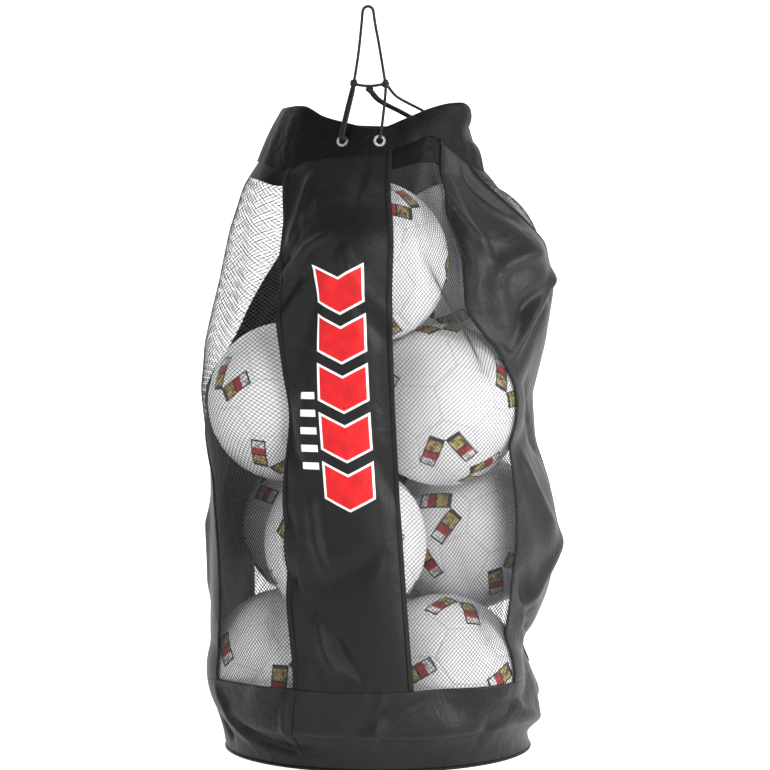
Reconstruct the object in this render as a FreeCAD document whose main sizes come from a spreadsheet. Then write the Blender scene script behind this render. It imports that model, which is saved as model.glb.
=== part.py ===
import FreeCAD, Part
import math
import os

import Sketcher

# A mesh ball bag, standing upright and packed with eleven size 5 footballs: a tough cloth base,
# four cloth panels and four net windows in turn round the body, a double collar with a drawcord
# in it, and the cord's hanging loop above the mouth.
#
# Millimetres. +Z is up, the front faces -Y, and the origin is the middle of the base's underside.
# An azimuth is an angle round the bag in degrees, 0 at the front and 90 on the +X side.

Vector = FreeCAD.Vector
DOCUMENT = FreeCAD.newDocument("mesh_ball_bag")

# ---------------------------------------------------------------- driving dimensions

DRIVING_SIZES = {
    # the footballs
    "ball_diameter": 220,
    "ball_gap": 1,
    "cover_thickness": 4,
    "bladder_clearance": 0.5,
    "bladder_thickness": 1,
    "valve_diameter": 8,
    "valve_clearance": 0.3,
    # the cloth and its seams
    "cloth_thickness": 1.6,
    "cloth_clearance": 3,
    "seam_gap": 0.4,
    "panel_angle": 47,
    "panel_azimuth": -14,
    "binding_width": 8,
    "binding_thickness": 0.8,
    # the base
    "base_thickness": 2,
    "base_inset": 34,
    "corner_height": 60,
    "band_height": 115,
    "piping_diameter": 4,
    # the neck and the collar
    "neck_radius": 152,
    "neck_clearance": 18.9,
    "tape_width": 12,
    "tape_thickness": 1,
    "collar_height": 60,
    "collar_lean": 17,
    "collar_thickness": 1.2,
    "channel_width": 7,
    # the eyelets
    "eyelet_rise": 28,
    "eyelet_hole": 9.6,
    "eyelet_wall": 0.6,
    "eyelet_flange": 16,
    "eyelet_sheet": 0.8,
    "eyelet_clearance": 0.35,
    "washer_thickness": 0.8,
    # the drawcord
    "cord_diameter": 4,
    "knot_diameter": 12,
    "cord_spacing": 4.4,
}

PLACES_IN_LAYER = 3
# How many of a ring's places hold a ball, from the lowest ring up.
BALLS_IN_LAYERS = (3, 3, 3, 2)
FIRST_BALL_AZIMUTH = -77
# How far each ring of balls is turned from the first, in degrees, from the lowest ring up.
LAYER_TURNS = (0, 57, 0, 71)

SHEET = DOCUMENT.addObject("Spreadsheet::Sheet", "Sizes")
for row, (alias, value) in enumerate(DRIVING_SIZES.items(), start=1):
    SHEET.set(f"A{row}", alias)
    SHEET.set(f"B{row}", str(value))
    SHEET.setAlias(f"B{row}", alias)
DOCUMENT.recompute()

# ---------------------------------------------------------------- sizes worked out from them
# Each is an expression of the sheet, so that it can bind a dimension as well as give a number.

BALL_RADIUS = "(Sizes.ball_diameter / 2)"
RING_RADIUS = "((Sizes.ball_diameter + Sizes.ball_gap) / sqrt(3))"
FIRST_LAYER = f"(Sizes.base_thickness + Sizes.ball_gap + {BALL_RADIUS})"


def layer_rise(lower_turn, upper_turn):
    """How far a ring of balls lies above the ring that it rests on, from their nearest pair of balls."""
    ball_angle = 360 / PLACES_IN_LAYER
    apart = abs(upper_turn - lower_turn) % ball_angle
    nearest = min(apart, ball_angle - apart)
    return f"((Sizes.ball_diameter + Sizes.ball_gap) * sqrt(1 - 4 / 3 * sin({nearest / 2}) ^ 2))"


LAYER_HEIGHTS = [FIRST_LAYER]
for lower_turn, upper_turn in zip(LAYER_TURNS, LAYER_TURNS[1:]):
    LAYER_HEIGHTS.append(f"({LAYER_HEIGHTS[-1]} + {layer_rise(lower_turn, upper_turn)})")
TOP_LAYER = LAYER_HEIGHTS[-1]

# The shoulder is an arc round the top balls, then a straight line to the neck that touches it.
SHOULDER_RADIUS = f"({BALL_RADIUS} + Sizes.cloth_clearance + Sizes.cloth_thickness)"
BODY_RADIUS = f"({RING_RADIUS} + {SHOULDER_RADIUS})"
NECK_RISE = f"({SHOULDER_RADIUS} + Sizes.neck_clearance)"
NECK_HEIGHT = f"({TOP_LAYER} + {NECK_RISE})"
NECK_RUN = f"(Sizes.neck_radius - {RING_RADIUS})"
NECK_REACH = f"sqrt({NECK_RUN} * {NECK_RUN} + {NECK_RISE} * {NECK_RISE})"
TOUCH_ANGLE = f"(atan2({NECK_RISE}; {NECK_RUN}) - acos({SHOULDER_RADIUS} / {NECK_REACH}))"

# The band's lower corner is an arc that ends upright, and starts at the piping of the base.
BASE_RADIUS = f"({BODY_RADIUS} - Sizes.base_inset)"
BAND_BOTTOM = "(Sizes.piping_diameter + Sizes.seam_gap)"
CORNER_DROP = f"(Sizes.corner_height - {BAND_BOTTOM})"
CORNER_RADIUS = (
    f"((Sizes.base_inset * Sizes.base_inset + {CORNER_DROP} * {CORNER_DROP})"
    " / (2 * Sizes.base_inset))"
)

RIM_RADIUS = "(Sizes.neck_radius - Sizes.collar_lean)"
COLLAR_BOTTOM = f"({NECK_HEIGHT} + Sizes.seam_gap)"
RIM_HEIGHT = f"({NECK_HEIGHT} + Sizes.collar_height)"
COLLAR_DEPTH = "(2 * Sizes.collar_thickness + Sizes.channel_width)"
EYELET_HEIGHT = f"({NECK_HEIGHT} + Sizes.eyelet_rise)"
EYELET_BARREL = "(Sizes.eyelet_hole / 2 + Sizes.eyelet_wall)"


def size(expression):
    """The number that an expression of the sheet stands for."""
    result = SHEET.evalExpression(expression)
    return float(getattr(result, "Value", result))


# ---------------------------------------------------------------- the drawcord's route
# Points chosen by hand, in millimetres. The knots tie the loop's two feet to the strands.

KNOTS = {
    "knot_left": (-32, -132, 914),
    "knot_right": (10.5, -132, 914),
    "knot_tie": (-11, -127.5, 907),
}

CORD_ROUTES = {
    "hang_loop": [
        (-31.1, -132, 921),
        (-19.2, -131, 1012),
        (-8.6, -131, 1014),
        (9.1, -132, 921),
    ],
    "tie_strand": [
        (-25, -133.2, 912.2),
        (-11, -137, 908.5),
        (3.6, -133.4, 912.8),
    ],
    "left_strand_outer": [
        (-47.5, -131.5, 838),
        (-51.4, -142.8, 838.6),
        (-47.2, -141.6, 858),
        (-35.2, -134.2, 907),
    ],
    "left_strand_inner": [
        (-43.5, -132.9, 838),
        (-47.4, -144.3, 838.6),
        (-43.2, -143.4, 858.5),
        (-31.4, -136.4, 906.3),
    ],
    "right_strand": [
        (2.4, -139.9, 838),
        (2.8, -151.4, 838.8),
        (5.6, -148.6, 856),
        (9.2, -140, 888),
        (10.7, -135.6, 905.9),
    ],
    "mouth_strand_short": [
        (13.9, -125, 910.5),
        (23, -110.5, 898.5),
        (38, -85, 891),
        (66, -37, 879),
        (93, 10.5, 861.5),
        (111, 43.5, 846),
        (118.9, 60.6, 838.4),
        (124.6, 63.5, 838),
    ],
    "mouth_strand_lower": [
        (-9.3, -121.2, 901),
        (-2.5, -106, 893.5),
        (9, -80, 887.5),
        (26.5, -42, 880.5),
        (49, 6, 870),
        (70, 53, 857),
        (80.8, 83.2, 844.5),
        (86.3, 99.4, 838.6),
        (91.7, 105.5, 838),
    ],
    "mouth_strand_upper": [
        (-5.2, -123.4, 902),
        (1.6, -107.9, 894.1),
        (13.1, -81.9, 888),
        (30.6, -43.9, 881),
        (53.1, 4.1, 870.5),
        (74.1, 51.1, 857.5),
        (85.4, 81, 844.5),
        (89.5, 96.7, 838.7),
        (94.9, 102.7, 838),
    ],
}

# Where the cord leaves the channel: out through the front wall, or in through the facing.
EYELETS = {
    "front_left": (-19, "outer"),
    "front_right": (1, "outer"),
    "rear_left": (138, "inner"),
    "rear_right": (117, "inner"),
}

# The cord inside the channel: start azimuth, end azimuth and place in the stack of cords.
CHANNEL_CORDS = {
    "channel_cord_upper": (142, 336.5, 1),
    "channel_cord_lower": (142, 336.5, -1),
    "channel_cord_right": (5.5, 112.5, 0),
}

# ---------------------------------------------------------------- helpers

PARTS = []


def subpart(feature, name, placement=None):
    """Name a finished sub-part, put it in its place and keep it for export."""
    feature.Label = name
    if placement is not None:
        feature.Placement = placement
    PARTS.append(feature)
    return feature


def round_bag(azimuth):
    """The placement that turns the +X side to an azimuth."""
    return FreeCAD.Placement(Vector(), FreeCAD.Rotation(Vector(0, 0, 1), azimuth - 90))


def arc_middle(start, end, radius):
    """The middle point of the arc from start to end that bulges to the right of the way."""
    chord = end - start
    middle = (start + end) / 2
    right = Vector(chord.y, -chord.x, 0).normalize()
    rise = radius - math.sqrt(radius**2 - (chord.Length / 2) ** 2)
    return middle + right * rise


def fix_vertex(sketch, geometry, end, point):
    """Tie one end of an edge to the two expressions of its point."""
    for kind, expression in zip(("DistanceX", "DistanceY"), point):
        constraint = Sketcher.Constraint(kind, -1, 1, geometry, end, size(expression))
        index = sketch.addConstraint(constraint)
        sketch.setExpression(f"Constraints[{index}]", expression)


def outline_sketch(body, name, points, arcs):
    """A closed sketch on the body's XZ plane, with its corners tied to expressions.

    points holds (x, z) expressions in order. arcs gives, for the edge that starts at a point,
    the expression of its radius and whether it bulges to the right of the way.
    """
    plane = [item for item in body.Origin.OriginFeatures if item.Role == "XZ_Plane"][0]
    sketch = body.newObject("Sketcher::SketchObject", name)
    sketch.AttachmentSupport = [(plane, "")]
    sketch.MapMode = "FlatFace"
    corners = [Vector(size(x), size(z), 0) for x, z in points]
    edges = []
    for index, start in enumerate(corners):
        end = corners[(index + 1) % len(corners)]
        if index in arcs:
            expression, to_right = arcs[index]
            radius = size(expression)
            first, last = (start, end) if to_right else (end, start)
            arc = Part.Arc(first, arc_middle(first, last, radius), last)
            edge = sketch.addGeometry(arc, False)
            # a sketch arc runs anticlockwise, so its first end is the one that the bulge follows
            edges.append((edge, 1, 2) if to_right else (edge, 2, 1))
        else:
            edges.append((sketch.addGeometry(Part.LineSegment(start, end), False), 1, 2))
    for index, (edge, _, finish) in enumerate(edges):
        following, begin, _ = edges[(index + 1) % len(edges)]
        sketch.addConstraint(Sketcher.Constraint("Coincident", edge, finish, following, begin))
    for (edge, begin, _), point in zip(edges, points):
        fix_vertex(sketch, edge, begin, point)
    for index, (expression, _) in arcs.items():
        constraint = Sketcher.Constraint("Radius", edges[index][0], size(expression))
        number = sketch.addConstraint(constraint)
        sketch.setExpression(f"Constraints[{number}]", expression)
    return sketch


def turned_body(name, points, arcs=None, angle="360"):
    """A body turned about its own Z axis from an outline, through an angle from +X."""
    body = DOCUMENT.addObject("PartDesign::Body", name)
    sketch = outline_sketch(body, f"{name}_outline", points, arcs or {})
    turned = body.newObject("PartDesign::Revolution", f"{name}_turned")
    turned.Profile = sketch
    turned.ReferenceAxis = (sketch, ["V_Axis"])
    turned.Angle = size(angle)
    turned.setExpression("Angle", angle)
    body.Tip = turned
    return body


def cord_wire(points, name):
    """Straight runs joined by arcs, each arc as large as its two runs allow."""
    corners = [Vector(*point) for point in points]
    edges = []
    here = corners[0]
    radii = []
    for before, corner, after in zip(corners, corners[1:], corners[2:]):
        run_in = corner - before
        run_out = after - corner
        half_turn = run_in.getAngle(run_out) / 2
        reach = 0.45 * min(run_in.Length, run_out.Length)
        radius = reach / math.tan(half_turn)
        towards = (before - corner).normalize()
        away = (after - corner).normalize()
        start = corner + towards * reach
        end = corner + away * reach
        bisector = (towards + away).normalize()
        middle = corner + bisector * (radius / math.cos(half_turn) - radius)
        edges.append(Part.LineSegment(here, start).toShape())
        edges.append(Part.Arc(start, middle, end).toShape())
        here = end
        radii.append(round(radius, 1))
    edges.append(Part.LineSegment(here, corners[-1]).toShape())
    wire = Part.Wire(edges)
    print(f"{name}: length {wire.Length:.1f} mm, arc radii {radii} mm")
    return wire


def cord_tube(points, name):
    """A round tube of the cord's size along its route."""
    wire = cord_wire(points, name)
    radius = size("Sizes.cord_diameter") / 2
    first, second = (Vector(*point) for point in points[:2])
    section = Part.Wire([Part.makeCircle(radius, first, second - first)])
    tube = wire.makePipeShell([section], True, False)
    expected = math.pi * radius**2 * wire.Length
    assert abs(tube.Volume / expected - 1) < 0.02, f"{name} has the wrong volume"
    return tube


# ---------------------------------------------------------------- the base


def make_base():
    """The round base panel, the piping round its edge and the band that stands on it."""
    panel = DOCUMENT.addObject("Part::Cylinder", "base_panel")
    panel.setExpression("Radius", f"{BASE_RADIUS} - Sizes.piping_diameter / 2 - Sizes.seam_gap")
    panel.setExpression("Height", "Sizes.base_thickness")
    subpart(panel, "base_panel", FreeCAD.Placement())

    piping = DOCUMENT.addObject("Part::Torus", "base_piping")
    piping.setExpression("Radius1", BASE_RADIUS)
    piping.setExpression("Radius2", "Sizes.piping_diameter / 2")
    piping.setExpression("Placement.Base.z", "Sizes.piping_diameter / 2")
    subpart(piping, "base_piping")

    inner_corner = f"({CORNER_RADIUS} - Sizes.cloth_thickness)"
    centre = f"({BODY_RADIUS} - {CORNER_RADIUS})"
    inner_edge = f"{centre} + {inner_corner} * (1 - Sizes.base_inset / {CORNER_RADIUS})"
    inner_bottom = f"Sizes.corner_height - {inner_corner} * {CORNER_DROP} / {CORNER_RADIUS}"
    points = [
        (BASE_RADIUS, BAND_BOTTOM),
        (BODY_RADIUS, "Sizes.corner_height"),
        (BODY_RADIUS, "Sizes.band_height"),
        (f"{BODY_RADIUS} - Sizes.cloth_thickness", "Sizes.band_height"),
        (f"{BODY_RADIUS} - Sizes.cloth_thickness", "Sizes.corner_height"),
        (inner_edge, inner_bottom),
    ]
    arcs = {0: (CORNER_RADIUS, True), 4: (inner_corner, False)}
    subpart(turned_body("base_band", points, arcs), "base_band", FreeCAD.Placement())


# ---------------------------------------------------------------- the body's cloth and net


def side_outline(inner_offset, outer_offset, bottom):
    """The upright outline of a side piece, as offsets outwards from the bag's outer face."""
    inner = f"({SHOULDER_RADIUS} + {inner_offset})"
    outer = f"({SHOULDER_RADIUS} + {outer_offset})"
    across = f"cos({TOUCH_ANGLE})"
    upward = f"sin({TOUCH_ANGLE})"
    points = [
        (f"{RING_RADIUS} + {outer}", bottom),
        (f"{RING_RADIUS} + {outer}", TOP_LAYER),
        (f"{RING_RADIUS} + {outer} * {across}", f"{TOP_LAYER} + {outer} * {upward}"),
        (
            f"Sizes.neck_radius + {outer_offset} * {across}",
            f"{NECK_HEIGHT} + {outer_offset} * {upward}",
        ),
        (
            f"Sizes.neck_radius + {inner_offset} * {across}",
            f"{NECK_HEIGHT} + {inner_offset} * {upward}",
        ),
        (f"{RING_RADIUS} + {inner} * {across}", f"{TOP_LAYER} + {inner} * {upward}"),
        (f"{RING_RADIUS} + {inner}", TOP_LAYER),
        (f"{RING_RADIUS} + {inner}", bottom),
    ]
    arcs = {1: (outer, True), 5: (inner, False)}
    return points, arcs


def make_sides():
    """Four cloth panels and four net windows in turn, with a binding on each seam."""
    bottom = "(Sizes.band_height + Sizes.seam_gap)"
    points, arcs = side_outline("(0 - Sizes.cloth_thickness)", "0", bottom)
    lift = "Sizes.seam_gap / 2"
    binding_top = f"({lift} + Sizes.binding_thickness)"
    binding_points, binding_arcs = side_outline(lift, binding_top, bottom)
    gap_angle = "(Sizes.seam_gap / Sizes.neck_radius * 180 / pi)"
    panel_angle = f"(Sizes.panel_angle - {gap_angle})"
    window_angle = f"(90 - Sizes.panel_angle - {gap_angle})"
    binding_angle = f"(Sizes.binding_width / {BODY_RADIUS} * 180 / pi)"
    half_gap = size(gap_angle) / 2
    half_binding = size(binding_angle) / 2

    for index, side in enumerate(("front", "right", "back", "left")):
        middle = size("Sizes.panel_azimuth") + 90 * index
        first_seam = middle - size("Sizes.panel_angle") / 2
        second_seam = middle + size("Sizes.panel_angle") / 2
        panel = turned_body(f"{side}_panel", points, arcs, panel_angle)
        subpart(panel, f"{side}_panel", round_bag(first_seam + half_gap))
        window = turned_body(f"{side}_net", points, arcs, window_angle)
        subpart(window, f"{side}_net_window", round_bag(second_seam + half_gap))
        for edge, seam in (("left", first_seam), ("right", second_seam)):
            name = f"{side}_binding_{edge}"
            binding = turned_body(name, binding_points, binding_arcs, binding_angle)
            subpart(binding, name, round_bag(seam - half_binding))


# ---------------------------------------------------------------- the collar


def collar_radius(inset):
    """The radius, at the eyelets' height, of a collar face that far in from the outer one."""
    lean = "Sizes.collar_lean * Sizes.eyelet_rise / Sizes.collar_height"
    return size(f"Sizes.neck_radius - {lean} - {inset}")


def collar_normal(azimuth):
    """The direction straight out of the leaning collar at an azimuth."""
    tilt = math.atan2(size("Sizes.collar_lean"), size("Sizes.collar_height"))
    across = math.cos(tilt)
    turn = math.radians(azimuth)
    return Vector(math.sin(turn) * across, -math.cos(turn) * across, math.sin(tilt))


def collar_point(azimuth, inset):
    """The point at the eyelets' height on a collar face."""
    turn = math.radians(azimuth)
    radius = collar_radius(inset)
    return Vector(math.sin(turn) * radius, -math.cos(turn) * radius, size(EYELET_HEIGHT))


def eyelet_place(azimuth, wall):
    """The placement on the collar's outer face, or on its facing, with Z out of that face."""
    outwards = collar_normal(azimuth)
    if wall == "outer":
        return FreeCAD.Placement(
            collar_point(azimuth, "0"), FreeCAD.Rotation(Vector(0, 0, 1), outwards)
        )
    return FreeCAD.Placement(
        collar_point(azimuth, COLLAR_DEPTH), FreeCAD.Rotation(Vector(0, 0, 1), outwards * -1)
    )


def make_collar():
    """The folded collar, with a hole for each eyelet, and the tape inside the neck seam."""
    thickness = "Sizes.collar_thickness"
    slope = "(Sizes.collar_lean / Sizes.collar_height)"
    low_radius = f"(Sizes.neck_radius - Sizes.seam_gap * {slope})"
    points = [
        (low_radius, COLLAR_BOTTOM),
        (RIM_RADIUS, RIM_HEIGHT),
        (f"{RIM_RADIUS} - {COLLAR_DEPTH}", RIM_HEIGHT),
        (f"{low_radius} - {COLLAR_DEPTH}", COLLAR_BOTTOM),
        (f"{low_radius} - {COLLAR_DEPTH} + {thickness}", COLLAR_BOTTOM),
        (f"{RIM_RADIUS} - {COLLAR_DEPTH} + {thickness}", f"{RIM_HEIGHT} - {thickness}"),
        (f"{RIM_RADIUS} - {thickness}", f"{RIM_HEIGHT} - {thickness}"),
        (f"{low_radius} - {thickness}", COLLAR_BOTTOM),
    ]
    folded = turned_body("collar_folded", points)
    drills = []
    for name, (azimuth, wall) in EYELETS.items():
        drill = DOCUMENT.addObject("Part::Cylinder", f"{name}_drill")
        drill.setExpression("Radius", f"{EYELET_BARREL} + Sizes.eyelet_clearance")
        drill.setExpression("Height", "Sizes.channel_width")
        place = eyelet_place(azimuth, wall)
        # half of the hole's length lies on each side of the wall's face
        depth = Vector(0, 0, size("0 - Sizes.channel_width / 2"))
        drill.Placement = place * FreeCAD.Placement(depth, FreeCAD.Rotation())
        drills.append(drill)
    holes = DOCUMENT.addObject("Part::MultiFuse", "eyelet_drills")
    holes.Shapes = drills
    collar = DOCUMENT.addObject("Part::Cut", "collar")
    collar.Base = folded
    collar.Tool = holes
    subpart(collar, "collar", FreeCAD.Placement())

    tape_outer = "(Sizes.neck_radius - Sizes.cloth_thickness - Sizes.seam_gap)"
    tape_inner = f"({tape_outer} - Sizes.tape_thickness)"
    tape_top = f"({NECK_HEIGHT} - Sizes.seam_gap)"
    tape_bottom = f"({tape_top} - Sizes.tape_width)"
    tape_points = [
        (tape_inner, tape_bottom),
        (tape_outer, tape_bottom),
        (tape_outer, tape_top),
        (tape_inner, tape_top),
    ]
    subpart(turned_body("neck_tape", tape_points), "neck_tape", FreeCAD.Placement())


def make_eyelets():
    """Each eyelet is a flanged barrel through the cloth and a washer on its far side."""
    hole = "Sizes.eyelet_hole / 2"
    flange = "Sizes.eyelet_flange / 2"
    clearance = "Sizes.eyelet_clearance"
    sheet = "Sizes.eyelet_sheet"
    barrel_end = f"(0 - Sizes.collar_thickness - 2 * {clearance} - Sizes.washer_thickness)"
    washer_top = f"(0 - Sizes.collar_thickness - {clearance})"
    eyelet_points = [
        (hole, barrel_end),
        (EYELET_BARREL, barrel_end),
        (EYELET_BARREL, clearance),
        (flange, clearance),
        (flange, f"{clearance} + {sheet}"),
        (hole, f"{clearance} + {sheet}"),
    ]
    washer_points = [
        (f"{EYELET_BARREL} + {clearance}", f"{washer_top} - Sizes.washer_thickness"),
        (flange, f"{washer_top} - Sizes.washer_thickness"),
        (flange, washer_top),
        (f"{EYELET_BARREL} + {clearance}", washer_top),
    ]
    for name, (azimuth, wall) in EYELETS.items():
        place = eyelet_place(azimuth, wall)
        subpart(turned_body(f"eyelet_{name}", eyelet_points), f"eyelet_{name}", place)
        subpart(turned_body(f"washer_{name}", washer_points), f"washer_{name}", place)


# ---------------------------------------------------------------- the drawcord


def make_drawcord():
    """The cord's free strands, the knots that tie them and the stretches in the channel."""
    for name, points in CORD_ROUTES.items():
        strand = DOCUMENT.addObject("Part::Feature", name)
        strand.Shape = cord_tube(points, name)
        subpart(strand, name, FreeCAD.Placement())
    for name, centre in KNOTS.items():
        knot = DOCUMENT.addObject("Part::Sphere", name)
        knot.setExpression("Radius", "Sizes.knot_diameter / 2")
        subpart(knot, name, FreeCAD.Placement(Vector(*centre), FreeCAD.Rotation()))
    slope = size("Sizes.collar_lean") / size("Sizes.collar_height")
    for name, (start, end, place) in CHANNEL_CORDS.items():
        lift = place * size("Sizes.cord_spacing") / 2
        cord = DOCUMENT.addObject("Part::Torus", name)
        cord.Radius1 = collar_radius(f"{COLLAR_DEPTH} / 2") - lift * slope
        cord.setExpression("Radius2", "Sizes.cord_diameter / 2")
        cord.Angle3 = end - start
        position = Vector(0, 0, size(EYELET_HEIGHT) + lift)
        subpart(cord, name, FreeCAD.Placement(position, round_bag(start).Rotation))


# ---------------------------------------------------------------- the footballs


def ball_places():
    """Each ball's name, centre and azimuth: rings of three places, each turned on the one below."""
    places = []
    for layer, (layer_turn, layer_height) in enumerate(zip(LAYER_TURNS, LAYER_HEIGHTS)):
        height = size(layer_height)
        for number in range(BALLS_IN_LAYERS[layer]):
            azimuth = FIRST_BALL_AZIMUTH + layer_turn + 360 / PLACES_IN_LAYER * number
            turn = math.radians(azimuth)
            ring = size(RING_RADIUS)
            centre = Vector(ring * math.sin(turn), -ring * math.cos(turn), height)
            places.append((f"ball_layer{layer + 1}_{number + 1}", centre, azimuth))
    return places


def make_ball(name, centre, azimuth):
    """One ball's hollow cover, with the hole for its valve towards the middle of the bag."""
    outside = DOCUMENT.addObject("Part::Sphere", f"{name}_outside")
    outside.setExpression("Radius", BALL_RADIUS)
    inside = DOCUMENT.addObject("Part::Sphere", f"{name}_inside")
    inside.setExpression("Radius", f"{BALL_RADIUS} - Sizes.cover_thickness")
    shell = DOCUMENT.addObject("Part::Cut", f"{name}_shell")
    shell.Base = outside
    shell.Tool = inside
    hole = DOCUMENT.addObject("Part::Cylinder", f"{name}_hole")
    hole.setExpression("Radius", "Sizes.valve_diameter / 2 + Sizes.valve_clearance")
    hole.setExpression("Height", "Sizes.ball_diameter")
    inwards = FreeCAD.Rotation(Vector(0, 0, 1), Vector(-1, 0, 0))
    hole.Placement = FreeCAD.Placement(Vector(), inwards)
    cover = DOCUMENT.addObject("Part::Cut", name)
    cover.Base = shell
    cover.Tool = hole
    subpart(cover, name, FreeCAD.Placement(centre, round_bag(azimuth).Rotation))


def make_balls():
    """The covers one by one; the bladders and the valves each as one group of solids."""
    cover_inside = size(f"{BALL_RADIUS} - Sizes.cover_thickness")
    bladder_outside = cover_inside - size("Sizes.bladder_clearance")
    bladder_inside = bladder_outside - size("Sizes.bladder_thickness")
    valve_radius = size("Sizes.valve_diameter") / 2
    bladders = []
    valves = []
    for name, centre, azimuth in ball_places():
        make_ball(name, centre, azimuth)
        outside = Part.makeSphere(bladder_outside, centre)
        bladders.append(outside.cut(Part.makeSphere(bladder_inside, centre)))
        inwards = round_bag(azimuth).Rotation.multVec(Vector(-1, 0, 0))
        start = centre + inwards * (cover_inside - size("Sizes.bladder_clearance") / 2)
        length = size("Sizes.cover_thickness")
        valves.append(Part.makeCylinder(valve_radius, length, start, inwards))
    for name, shapes in (("ball_bladders", bladders), ("ball_valves", valves)):
        group = DOCUMENT.addObject("Part::Feature", name)
        group.Shape = Part.makeCompound(shapes)
        subpart(group, name, FreeCAD.Placement())


# ---------------------------------------------------------------- the whole bag


def check_and_export():
    """Refuse a failed object or a bad shape, then write one file for each sub-part."""
    DOCUMENT.recompute()
    failed = [item.Label for item in DOCUMENT.Objects if {"Invalid", "Error"} & set(item.State)]
    assert not failed, f"failed objects: {failed}"
    for feature in PARTS:
        shape = feature.Shape
        assert not shape.isNull() and shape.isValid(), f"{feature.Label} has a bad shape"
        assert shape.Volume > 0, f"{feature.Label} has no volume"
    os.makedirs("parts", exist_ok=True)
    for feature in PARTS:
        feature.Shape.exportStep(f"parts/{feature.Label}.step")
    print(f"{len(PARTS)} sub-parts written")


make_base()
make_sides()
make_collar()
make_eyelets()
make_drawcord()
make_balls()
check_and_export()
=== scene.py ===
import logging
import math
from dataclasses import dataclass, field
from enum import Enum

import bmesh
import bpy
import numpy as np
from mathutils import Matrix, Vector


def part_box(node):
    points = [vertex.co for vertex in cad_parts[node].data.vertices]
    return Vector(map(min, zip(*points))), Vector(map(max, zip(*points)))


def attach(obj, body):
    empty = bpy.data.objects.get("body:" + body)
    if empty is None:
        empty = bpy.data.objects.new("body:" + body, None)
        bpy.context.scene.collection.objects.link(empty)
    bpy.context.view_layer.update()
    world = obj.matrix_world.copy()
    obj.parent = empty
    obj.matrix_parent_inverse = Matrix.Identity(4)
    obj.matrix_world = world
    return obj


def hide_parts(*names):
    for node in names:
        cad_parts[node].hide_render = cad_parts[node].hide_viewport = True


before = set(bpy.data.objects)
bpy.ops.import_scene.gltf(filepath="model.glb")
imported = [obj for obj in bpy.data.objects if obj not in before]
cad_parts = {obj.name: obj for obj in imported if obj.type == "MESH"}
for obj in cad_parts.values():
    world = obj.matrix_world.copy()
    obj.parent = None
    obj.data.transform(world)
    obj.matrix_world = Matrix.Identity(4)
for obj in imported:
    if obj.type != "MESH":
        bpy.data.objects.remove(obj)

# A mesh ball bag packed with eleven footballs. The cloth and the net are one tube of cloth,
# simulated as it hangs round the balls, and then cut at its seams into the panels and windows.
# Metres, +Z up, the front faces -Y. An azimuth is 0 at the front and 90 degrees on the +X side.

log = logging.getLogger("mesh_ball_bag")
MM = 0.001
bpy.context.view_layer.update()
BAG = "bag"
LOOP = "hang_loop"


# ---------------------------------------------------------------- small helpers


def centre_of(node: str) -> Vector:
    """The middle of a CAD node's box."""
    low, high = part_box(node)
    return (Vector(low) + Vector(high)) / 2


def linear(hex_colour: str) -> tuple[float, float, float, float]:
    """An sRGB hex colour as the linear colour that Blender's sockets take.

    Args:
        hex_colour: Six hex digits, such as "1a1a1c".

    Returns:
        Linear red, green, blue and an alpha of one.
    """
    channels = [int(hex_colour[i : i + 2], 16) / 255 for i in (0, 2, 4)]
    turned = [c / 12.92 if c <= 0.04045 else ((c + 0.055) / 1.055) ** 2.4 for c in channels]
    return (*turned, 1.0)


def smooth_step(low: float, high: float, value: np.ndarray) -> np.ndarray:
    """Zero at low, one at high and past it, and a soft rise between."""
    t = np.clip((value - low) / (high - low), 0, 1)
    return t * t * (3 - 2 * t)


def closed_curve(azimuths: np.ndarray, points: list[tuple[float, float, float]]) -> np.ndarray:
    """Radius and height all round, through a closed row of points.

    Args:
        azimuths: The azimuths that are wanted, in degrees.
        points: Azimuth in degrees, radius and height in millimetres, in rising order.

    Returns:
        One row of radius and height in metres for each azimuth.
    """
    table = np.array(points, float)
    count = len(table)
    where = np.mod(azimuths - table[0, 0], 360) + table[0, 0]
    knots = np.append(table[:, 0], table[0, 0] + 360)
    index = np.clip(np.searchsorted(knots, where, side="right") - 1, 0, count - 1)
    t = ((where - knots[index]) / (knots[index + 1] - knots[index]))[:, None]
    before, start, end, after = (table[(index + step) % count, 1:] for step in (-1, 0, 1, 2))
    # a Catmull-Rom curve passes through every point with no corner
    value = 0.5 * (
        2 * start
        + (end - before) * t
        + (2 * before - 5 * start + 4 * end - after) * t**2
        + (3 * start - before - 3 * end + after) * t**3
    )
    return value * MM


def new_object(name: str, vertices: np.ndarray, faces: list[tuple[int, ...]]) -> bpy.types.Object:
    """A linked mesh object at the origin, with smooth faces."""
    mesh = bpy.data.meshes.new(name)
    mesh.from_pydata([tuple(v) for v in vertices], [], faces)
    mesh.polygons.foreach_set("use_smooth", [True] * len(mesh.polygons))
    piece = bpy.data.objects.new(name, mesh)
    bpy.context.collection.objects.link(piece)
    return piece


def only(piece: bpy.types.Object) -> None:
    """Make one object the only selected one, and the active one."""
    bpy.ops.object.select_all(action="DESELECT")
    piece.select_set(True)
    bpy.context.view_layer.objects.active = piece


def apply_modifier(piece: bpy.types.Object, kind: str, **settings: object) -> None:
    """Add a modifier with its settings and apply it at once.

    Args:
        piece: The object that gets it.
        kind: Blender's name for the modifier's type.
        settings: Its properties by name.
    """
    only(piece)
    modifier = piece.modifiers.new(kind.title(), kind)
    for key, value in settings.items():
        setattr(modifier, key, value)
    bpy.ops.object.modifier_apply(modifier=modifier.name)


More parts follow.
